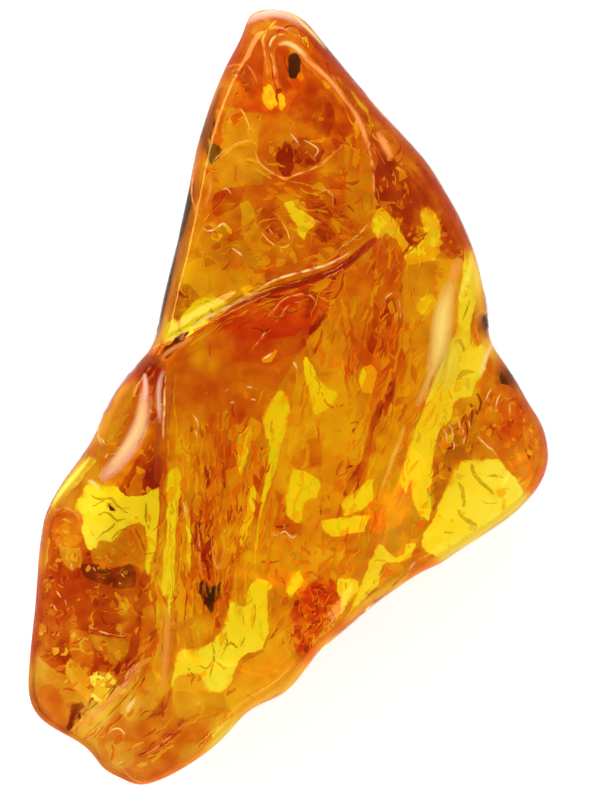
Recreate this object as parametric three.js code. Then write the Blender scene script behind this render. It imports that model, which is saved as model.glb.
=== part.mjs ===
import * as THREE from "three";

// A polished piece of natural amber, lying on a small flat spot on its underside.
// All values are in millimetres. Seen from above, X runs to the right, Y runs towards
// the pointed end, and Z runs up from the surface that the stone lies on.

// How finely the surface is cut into faces.
const SEGMENTS = 104; // round the outline
const INNER_RINGS = 11; // from the middle of the top out to the fold loop
const OUTER_RINGS = 12; // from the fold loop out to the rim
const UNDER_RINGS = 19; // from the middle of the underside out to the rim
const CROWDING = 1.45; // above 1 the rings crowd towards the fold loop and the rim

// The middle that the rings run round, and how the rim is rounded over.
const MIDDLE = [-1.0, -2.0];
const TOP_ROUNDING = 1.2;
const UNDER_ROUNDING = 1.5;
const ROUNDING_POWER = 2.5; // 2 is a quarter circle, more is fuller
const RIM_SHARE = 0.55; // how far up the edge's thickness the rim lies
const BLEND = 0.7; // how softly two faces run into each other

// The outline seen from above, clockwise from the pointed end.
const OUTLINE = [
  [-1.5, 31.0],
  [-0.4, 30.9],
  [0.4, 30.7],
  [1.2, 30.2],
  [2.9, 28.3],
  [5.3, 25.4],
  [7.8, 22.5],
  [9.6, 20.6],
  [11.2, 18.7],
  [12.4, 16.8],
  [14.0, 13.9],
  [15.1, 11.0],
  [15.6, 8.8],
  [16.0, 7.0],
  [16.0, 5.4],
  [16.4, 4.1],
  [17.6, 2.4],
  [19.3, -0.5],
  [20.4, -2.4],
  [20.8, -4.2],
  [20.7, -5.6],
  [20.0, -7.2],
  [18.2, -9.2],
  [15.4, -11.2],
  [13.8, -12.2],
  [12.8, -13.0],
  [10.9, -13.9],
  [7.3, -16.3],
  [4.1, -19.0],
  [2.6, -20.2],
  [0.9, -22.4],
  [-0.7, -23.9],
  [-2.9, -24.9],
  [-5.5, -27.5],
  [-7.1, -28.8],
  [-10.3, -30.6],
  [-12.3, -31.0],
  [-13.5, -30.4],
  [-14.6, -29.9],
  [-15.7, -28.5],
  [-16.8, -27.6],
  [-19.6, -25.9],
  [-20.6, -24.5],
  [-20.8, -23.1],
  [-20.2, -15.9],
  [-19.9, -11.8],
  [-19.5, -9.5],
  [-18.4, -7.2],
  [-15.8, -3.4],
  [-14.5, -0.5],
  [-13.3, 1.4],
  [-11.6, 3.3],
  [-10.8, 4.6],
  [-10.2, 7.2],
  [-8.8, 12.9],
  [-8.0, 16.8],
  [-7.2, 20.6],
  [-5.5, 25.4],
  [-3.5, 29.4],
  [-3.1, 30.5],
  [-2.4, 30.9],
];

// The loop of folds round the main body, which one ring follows so that their crests stay crisp.
const FOLD_LOOP = [
  [6.8, 13.2],
  [4.5, 10.9],
  [1.3, 9.7],
  [-1.9, 8.8],
  [-5.9, 6.9],
  [-8.7, 5.2],
  [-9.7, 2.6],
  [-9.4, -1.8],
  [-9.3, -8.2],
  [-9.5, -14.6],
  [-9.2, -19.0],
  [-6.4, -21.4],
  [-2.0, -21.0],
  [1.4, -19.0],
  [5.7, -13.4],
  [7.6, -8.2],
  [9.2, -3.4],
  [11.0, 1.6],
  [12.2, 6.4],
  [10.4, 11.4],
];

// Each broad face: a point on it, its height there, the way it falls (degrees from +X) and how steeply.
const TOP_FACES = [
  { name: "upper face", at: [-0.3, 16.6], height: 13.9, falls: 138, slope: 0.3 },
  { name: "right flank", at: [6.7, 15.8], height: 15.6, falls: 52, slope: 0.56 },
  { name: "right cheek", at: [12.6, 10.5], height: 13.1, falls: 12, slope: 0.6 },
  { name: "main body", at: [0.9, -4.2], height: 16.5, falls: 236, slope: 0.17 },
  { name: "left side", at: [-10.0, -6.6], height: 14.5, falls: 192, slope: 0.4 },
  { name: "right lobe", at: [9.6, -1.4], height: 15.1, falls: 338, slope: 0.34 },
  { name: "lower bevel", at: [6.6, -10.2], height: 13.7, falls: 312, slope: 0.5 },
  { name: "bottom lobe", at: [-8.8, -19.0], height: 12.9, falls: 252, slope: 0.36 },
];
const UNDER_FACES = [
  { name: "flat spot", at: [0, 0], height: -0.45, falls: 0, slope: 0 },
  { name: "towards the point", at: [0.4, 6.2], height: 0, falls: 272, slope: 0.26 },
  { name: "towards the left", at: [-7.2, -5.0], height: 0, falls: 12, slope: 0.36 },
  { name: "towards the right", at: [6.4, -2.0], height: 0, falls: 186, slope: 0.34 },
  { name: "towards the bottom", at: [-3.4, -12.4], height: 0, falls: 74, slope: 0.3 },
  { name: "lower right", at: [3.8, -9.8], height: 0, falls: 132, slope: 0.36 },
];

// Where one flow of resin overlaps the next: the surface drops from a crest into a scoop.
const LEDGE = {
  line: [
    [8.4, 15.4],
    [6.8, 13.2],
    [4.5, 10.9],
    [1.3, 9.7],
    [-1.9, 8.8],
    [-5.9, 6.9],
    [-8.7, 5.2],
    [-11.8, 3.0],
  ],
  crest: 0.2,
  crestWidth: 0.6,
  drop: 0.8,
  dropWidth: 1.3,
  scoopLength: 9.5,
};

// Raised folds (rise above 0) and grooves (rise below 0): a curved line, how far each stands out
// and how wide it is.
const TOP_FOLDS = [
  {
    name: "rim of the upper face",
    line: [
      [-2.9, 24.6], [-2.1, 27.4], [-0.6, 28.4], [1.0, 27.9], [2.7, 25.6], [4.5, 22.8],
      [5.9, 19.8], [6.8, 15.6], [6.9, 13.4],
    ],
    rise: 0.3,
    width: 1.0,
  },
  {
    name: "hollow inside that rim",
    line: [[-0.9, 25.2], [0.3, 25.9], [1.5, 24.4], [3.0, 21.2], [4.3, 17.6]],
    rise: -0.3,
    width: 1.6,
  },
  {
    name: "spine of the left side",
    line: [
      [-9.8, 3.6], [-9.4, -1.8], [-9.3, -8.2], [-9.5, -14.6], [-10.0, -19.4], [-10.6, -22.6],
    ],
    rise: 0.25,
    width: 1.2,
  },
  {
    name: "rolled edge",
    line: [[-11.4, 3.0], [-11.7, -0.4], [-12.8, -3.8], [-15.2, -6.8], [-17.6, -9.8]],
    rise: 0.7,
    width: 1.5,
  },
  {
    name: "groove between them",
    line: [[-10.6, 2.8], [-10.6, -1.6], [-11.4, -5.0], [-13.0, -7.6]],
    rise: -0.3,
    width: 1.1,
  },
  {
    name: "pinched groove",
    line: [[-8.6, -16.8], [-9.6, -19.8], [-11.4, -22.6], [-13.9, -24.8], [-17.6, -27.4]],
    rise: -0.9,
    width: 1.7,
  },
  {
    name: "fold below that groove",
    line: [[-7.6, -18.0], [-8.4, -21.4], [-10.4, -24.4], [-13.2, -26.8], [-15.6, -28.6]],
    rise: 0.3,
    width: 1.2,
  },
  {
    name: "left flute",
    line: [[-6.7, 1.0], [-6.2, -5.0], [-6.1, -10.6], [-6.1, -16.2]],
    rise: -0.25,
    width: 1.2,
  },
  {
    name: "right flute",
    line: [[-0.3, -0.8], [-1.6, -6.6], [-2.6, -12.0], [-3.9, -17.6]],
    rise: -0.25,
    width: 1.3,
  },
  {
    name: "edge of the scoop",
    line: [[5.0, 10.4], [3.3, 6.0], [1.2, 2.0], [-1.4, -2.4]],
    rise: 0.2,
    width: 1.3,
  },
  {
    name: "diagonal band",
    line: [
      [14.7, 11.6], [12.8, 6.4], [11.0, 1.6], [9.2, -3.4], [7.6, -8.2], [5.7, -13.4],
      [3.2, -18.2],
    ],
    rise: 0.4,
    width: 1.8,
  },
  {
    name: "valley beside the band",
    line: [[17.0, 6.2], [15.0, 2.6], [13.2, -1.8], [11.6, -6.6], [9.9, -11.4], [7.8, -16.0]],
    rise: -0.4,
    width: 2.2,
  },
  {
    name: "pit of the middle",
    line: [[4.4, -5.6], [3.6, -9.4], [2.4, -13.0]],
    rise: -0.35,
    width: 1.8,
  },
];

// Shell-shaped chips on the underside: where each lies, how wide it is and how deep it goes.
const UNDER_CHIPS = [
  { at: [0.6, 16.4], radius: 6.8, depth: 1.2 },
  { at: [7.0, 11.4], radius: 5.8, depth: 1.0 },
  { at: [-4.6, 10.4], radius: 5.0, depth: 0.9 },
  { at: [-13.0, -8.6], radius: 5.6, depth: 1.0 },
  { at: [-14.2, -17.4], radius: 6.2, depth: 1.1 },
  { at: [-4.4, -19.6], radius: 6.0, depth: 1.0 },
  { at: [4.8, -13.6], radius: 4.6, depth: 0.7 },
  { at: [14.8, -6.0], radius: 5.6, depth: 1.0 },
  { at: [12.0, 3.6], radius: 4.8, depth: 0.8 },
  { at: [-11.4, -25.6], radius: 4.4, depth: 0.6 },
];

const LOOP_STEPS = 1200; // how finely the fold loop is searched
const LINE_STEPS = 36; // how many stretches a curved line is measured along
const FOLD_FADE = 0.14; // the share of a fold's length over which it fades in at each end

const radians = THREE.MathUtils.degToRad;
const { smoothstep, lerp, euclideanModulo } = THREE.MathUtils;

// The height of one broad face above a point.
function faceHeight(face, x, y) {
  const way = radians(face.falls);
  const run = (x - face.at[0]) * Math.cos(way) + (y - face.at[1]) * Math.sin(way);
  return face.height - face.slope * run;
}

// The lowest of several heights, or with a negative softness the highest, with rounded meetings.
function softLowest(heights, softness) {
  const edge = softness > 0 ? Math.min(...heights) : Math.max(...heights);
  const sum = heights.reduce((total, h) => total + Math.exp((edge - h) / softness), 0);
  return edge - softness * Math.log(sum);
}

function curvePoints(line) {
  const curve = new THREE.CatmullRomCurve3(line.map(([x, y]) => new THREE.Vector3(x, y, 0)));
  return curve.getSpacedPoints(LINE_STEPS);
}

// How far a point lies from a line, on which side (positive on its left) and how far along.
function measure(points, x, y, closed = false) {
  const last = points.length - (closed ? 0 : 1);
  let best = { distance: Infinity, side: 0, along: 0 };
  for (let i = 0; i < last; i++) {
    const a = points[i];
    const b = points[(i + 1) % points.length];
    const [dx, dy] = [b.x - a.x, b.y - a.y];
    const share = ((x - a.x) * dx + (y - a.y) * dy) / (dx * dx + dy * dy);
    const t = THREE.MathUtils.clamp(share, 0, 1);
    const distance = Math.hypot(x - a.x - t * dx, y - a.y - t * dy);
    if (distance < best.distance) {
      const side = Math.sign(dx * (y - a.y) - dy * (x - a.x));
      best = { distance, side, along: (i + t) / last };
    }
  }
  return best;
}

// 1 in the middle of a line, fading to 0 at both ends.
function fade(along) {
  return smoothstep(along, 0, FOLD_FADE) * (1 - smoothstep(along, 1 - FOLD_FADE, 1));
}

const ledgePoints = curvePoints(LEDGE.line);
const foldPoints = TOP_FOLDS.map((fold) => curvePoints(fold.line));

function foldHeight(fold, points, x, y) {
  const { distance, along } = measure(points, x, y);
  return fold.rise * Math.exp(-((distance / fold.width) ** 2)) * fade(along);
}

function ledgeHeight(x, y) {
  const { distance, side, along } = measure(ledgePoints, x, y);
  const crest = LEDGE.crest * Math.exp(-((distance / LEDGE.crestWidth) ** 2));
  const below = side > 0 ? distance : 0;
  const drop = smoothstep(below, 0, LEDGE.dropWidth) * Math.exp(-((below / LEDGE.scoopLength) ** 2));
  return (crest - LEDGE.drop * drop) * fade(along);
}

function topHeight(x, y) {
  const faces = TOP_FACES.map((face) => faceHeight(face, x, y));
  const folds = TOP_FOLDS.map((fold, i) => foldHeight(fold, foldPoints[i], x, y));
  return softLowest(faces, BLEND) + ledgeHeight(x, y) + folds.reduce((a, b) => a + b, 0);
}

function chipDepth(chip, x, y) {
  const share = Math.hypot(x - chip.at[0], y - chip.at[1]) / chip.radius;
  return share < 1 ? chip.depth * (1 - share * share) ** 2 : 0;
}

function underHeight(x, y) {
  const faces = UNDER_FACES.map((face) => faceHeight(face, x, y));
  const chips = UNDER_CHIPS.map((chip) => chipDepth(chip, x, y));
  return Math.max(0, softLowest(faces, -BLEND) + Math.max(...chips));
}

// 0 at the rim, rising steeply and then levelling to 1 once the rounding is past.
function rounding(distance, radius) {
  const share = Math.min(1, distance / radius);
  return (1 - (1 - share) ** ROUNDING_POWER) ** (1 / ROUNDING_POWER);
}

// For each outline point, how far out (as a share) its line from the middle crosses the fold loop.
function foldShares(outline) {
  const [middleX, middleY] = MIDDLE;
  const corners = FOLD_LOOP.map(([x, y]) => new THREE.Vector3(x, y, 0));
  const points = new THREE.CatmullRomCurve3(corners, true).getSpacedPoints(LOOP_STEPS);
  const angleOf = (p) => Math.atan2(p.y - middleY, p.x - middleX);
  const lengthOf = (p) => Math.hypot(p.x - middleX, p.y - middleY);
  const apart = (p, q) => {
    const turn = euclideanModulo(angleOf(q) - angleOf(p) + Math.PI, 2 * Math.PI);
    return Math.abs(turn - Math.PI);
  };
  return outline.map((p) => {
    const nearest = points.reduce((best, q) => (apart(p, q) < apart(p, best) ? q : best));
    return lengthOf(nearest) / lengthOf(p);
  });
}

// Shares from 0 to 1 that crowd towards both ends.
function bothEnds(share) {
  return lerp(share, smoothstep(share, 0, 1), 0.75);
}

// The closed surface: rings from the middle of the top to the rim, and on to the middle of the underside.
function stoneGeometry() {
  const outline = new THREE.CatmullRomCurve3(
    OUTLINE.map(([x, y]) => new THREE.Vector3(x, y, 0)),
    true,
  ).getSpacedPoints(SEGMENTS).slice(0, SEGMENTS);
  const rim = outline.map((p) => lerp(underHeight(p.x, p.y), topHeight(p.x, p.y), RIM_SHARE));
  const [middleX, middleY] = MIDDLE;
  const positions = [middleX, middleY, topHeight(middleX, middleY)];

  function addRing(shares, height, radius) {
    outline.forEach((p, i) => {
      const x = lerp(middleX, p.x, shares[i]);
      const y = lerp(middleY, p.y, shares[i]);
      const { distance } = measure(outline, x, y, true);
      positions.push(x, y, lerp(rim[i], height(x, y), rounding(distance, radius)));
    });
  }

  const loop = foldShares(outline);
  const crowded = (share) => 1 - (1 - share) ** CROWDING;
  for (let ring = 1; ring <= INNER_RINGS; ring++)
    addRing(loop.map((share) => share * crowded(ring / INNER_RINGS)), topHeight, TOP_ROUNDING);
  for (let ring = 1; ring < OUTER_RINGS; ring++)
    addRing(loop.map((share) => lerp(share, 1, bothEnds(ring / OUTER_RINGS))), topHeight, TOP_ROUNDING);
  outline.forEach((p, i) => positions.push(p.x, p.y, rim[i]));
  for (let ring = UNDER_RINGS - 1; ring > 0; ring--)
    addRing(outline.map(() => crowded(ring / UNDER_RINGS)), underHeight, UNDER_ROUNDING);
  positions.push(middleX, middleY, underHeight(middleX, middleY));

  const rings = INNER_RINGS + OUTER_RINGS + UNDER_RINGS - 1;
  const faces = [];
  const vertex = (ring, i) => 1 + ring * SEGMENTS + (i % SEGMENTS);
  const lastVertex = positions.length / 3 - 1;
  for (let i = 0; i < SEGMENTS; i++) {
    faces.push(0, vertex(0, i + 1), vertex(0, i));
    for (let ring = 0; ring < rings - 1; ring++) {
      const [a, b] = [vertex(ring, i), vertex(ring, i + 1)];
      const [c, d] = [vertex(ring + 1, i), vertex(ring + 1, i + 1)];
      faces.push(a, b, d, a, d, c);
    }
    faces.push(lastVertex, vertex(rings - 1, i), vertex(rings - 1, i + 1));
  }
  const geometry = new THREE.BufferGeometry();
  geometry.setAttribute("position", new THREE.Float32BufferAttribute(positions, 3));
  geometry.setIndex(faces);
  geometry.computeVertexNormals();
  return geometry;
}

// Sets the middle of the outline's box over the origin, and the flat spot at height 0.
function centred(geometry) {
  geometry.computeBoundingBox();
  const { min, max } = geometry.boundingBox;
  return geometry.translate(-(min.x + max.x) / 2, -(min.y + max.y) / 2, -min.z);
}

const amber = new THREE.MeshStandardMaterial({
  color: new THREE.Color(0.85, 0.38, 0.05),
  roughness: 0.05,
  metalness: 0,
});

const stone = new THREE.Mesh(centred(stoneGeometry()), amber);
stone.name = "amber_stone";

const model = new THREE.Group();
model.add(stone);

export default model;
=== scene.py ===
"""A see-through lump of polished amber, lying on a pale floor and seen from above."""

import math
import random
import re

import bmesh
import bpy
import numpy as np
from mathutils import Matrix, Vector, geometry, noise
from mathutils.bvhtree import BVHTree


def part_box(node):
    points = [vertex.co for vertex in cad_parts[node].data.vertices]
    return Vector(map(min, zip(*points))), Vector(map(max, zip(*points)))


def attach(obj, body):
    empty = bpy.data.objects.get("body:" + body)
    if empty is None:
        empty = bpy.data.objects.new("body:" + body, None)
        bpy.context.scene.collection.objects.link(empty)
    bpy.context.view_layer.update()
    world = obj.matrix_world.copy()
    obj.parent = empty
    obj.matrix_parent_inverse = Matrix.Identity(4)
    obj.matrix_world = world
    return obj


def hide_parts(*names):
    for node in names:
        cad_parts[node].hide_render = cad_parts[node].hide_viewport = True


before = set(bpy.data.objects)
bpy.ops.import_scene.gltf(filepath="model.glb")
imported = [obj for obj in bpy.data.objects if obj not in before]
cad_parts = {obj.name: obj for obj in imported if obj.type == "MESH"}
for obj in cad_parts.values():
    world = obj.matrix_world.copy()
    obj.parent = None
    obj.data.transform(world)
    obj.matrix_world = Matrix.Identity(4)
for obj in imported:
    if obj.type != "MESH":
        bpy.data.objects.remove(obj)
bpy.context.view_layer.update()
low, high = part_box("amber_stone")

MM = 0.001
CENTRE = (low + high) / 2
MIDDLE = (-1.0, -2.0)  # a place well within the outline, in millimetres
IOR = 1.54  # of amber

# Shapes are drawn on squared paper laid over the stone, in squares counted from its top left corner.
SQUARE = 0.08  # millimetres
SHEET_MIDDLE = (288.5, 397.5)


def drawn(text):
    """Points of the squared paper in millimetres. Each pair after the first is a step from the last."""
    steps = [[float(value) for value in pair.split(",")] for pair in text.split()]
    return (np.cumsum(steps, axis=0) - SHEET_MIDDLE) * (SQUARE, -SQUARE)


def listed(text):
    """The shapes of a list: a word and numbers, a colon, and the points of each shape that they hold for."""
    shapes = []
    for entry in re.split(r"\n(?=[a-z])", re.sub("#.*", "", text).strip()):
        head, outlines = entry.split(":")
        word, *numbers = head.split()
        shapes += [(word, *map(float, numbers), drawn(outline)) for outline in outlines.split(";")]
    return shapes


# What each tint lets through of red, green and blue light, how grainy it is, and the tints of lighter and of
# darker flecks in it.
TINTS = {
    "clear": ((0.985, 0.95, 0.85), 1.2, "sun", "ochre"),
    "olive": ((0.6, 0.47, 0.14), 0.3, "clear", "brownish"),
    "sun": ((0.95, 0.62, 0.16), 0.3, "clear", "honey"),
    "honey": ((0.84, 0.46, 0.15), 0.25, "sun", "amber"),
    "honeyed": ((0.795, 0.42, 0.08), 0.3, "sun", "amber"),
    "amber": ((0.71, 0.325, 0.07), 0.3, "honey", "orange"),
    "brownish": ((0.69, 0.29, 0.1), 0.3, "honey", "orange"),
    "brown": ((0.56, 0.21, 0.06), 0.6, "honey", "red"),
    "ochre": ((0.7, 0.4, 0.06), 0.3, "sun", "brownish"),
    "orange": ((0.685, 0.2, 0.037), 0.3, "honeyed", "russet"),
    "russet": ((0.68, 0.14, 0.02), 0.3, "honeyed", "rust"),
    "rust": ((0.55, 0.088, 0.012), 0.3, "orange", "deep"),
    "ember": ((0.68, 0.08, 0.01), 0.3, "orange", "red"),
    "deep": ((0.44, 0.045, 0.01), 0.35, "orange", "red"),
    "red": ((0.38, 0.024, 0.006), 0.3, "orange", "deep"),
    "fiery": ((0.68, 0.1, 0.012), 1.0, "sun", "red"),
    "moss": ((0.22, 0.1, 0.05), 0.4, "brown", "dark"),
    "umber": ((0.27, 0.036, 0.008), 0.3, "brown", "dark"),
    "dark": ((0.09, 0.02, 0.03), 0.1, "deep", "deep"),
}
WASH, WASH_GRAIN = (0.88, 0.46, 0.15), 0.15
BARE = ("clear", "olive", "sun")  # tints of places that the wash leaves free
CLOUDED = ("clear", "sun")
CLOUD = (1.0, 0.92, 0.55)  # tint of the clouded patches of the clear places
WHOLE_STONE = ("amber", 0.5)  # tint and depth where no zone is drawn

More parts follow.
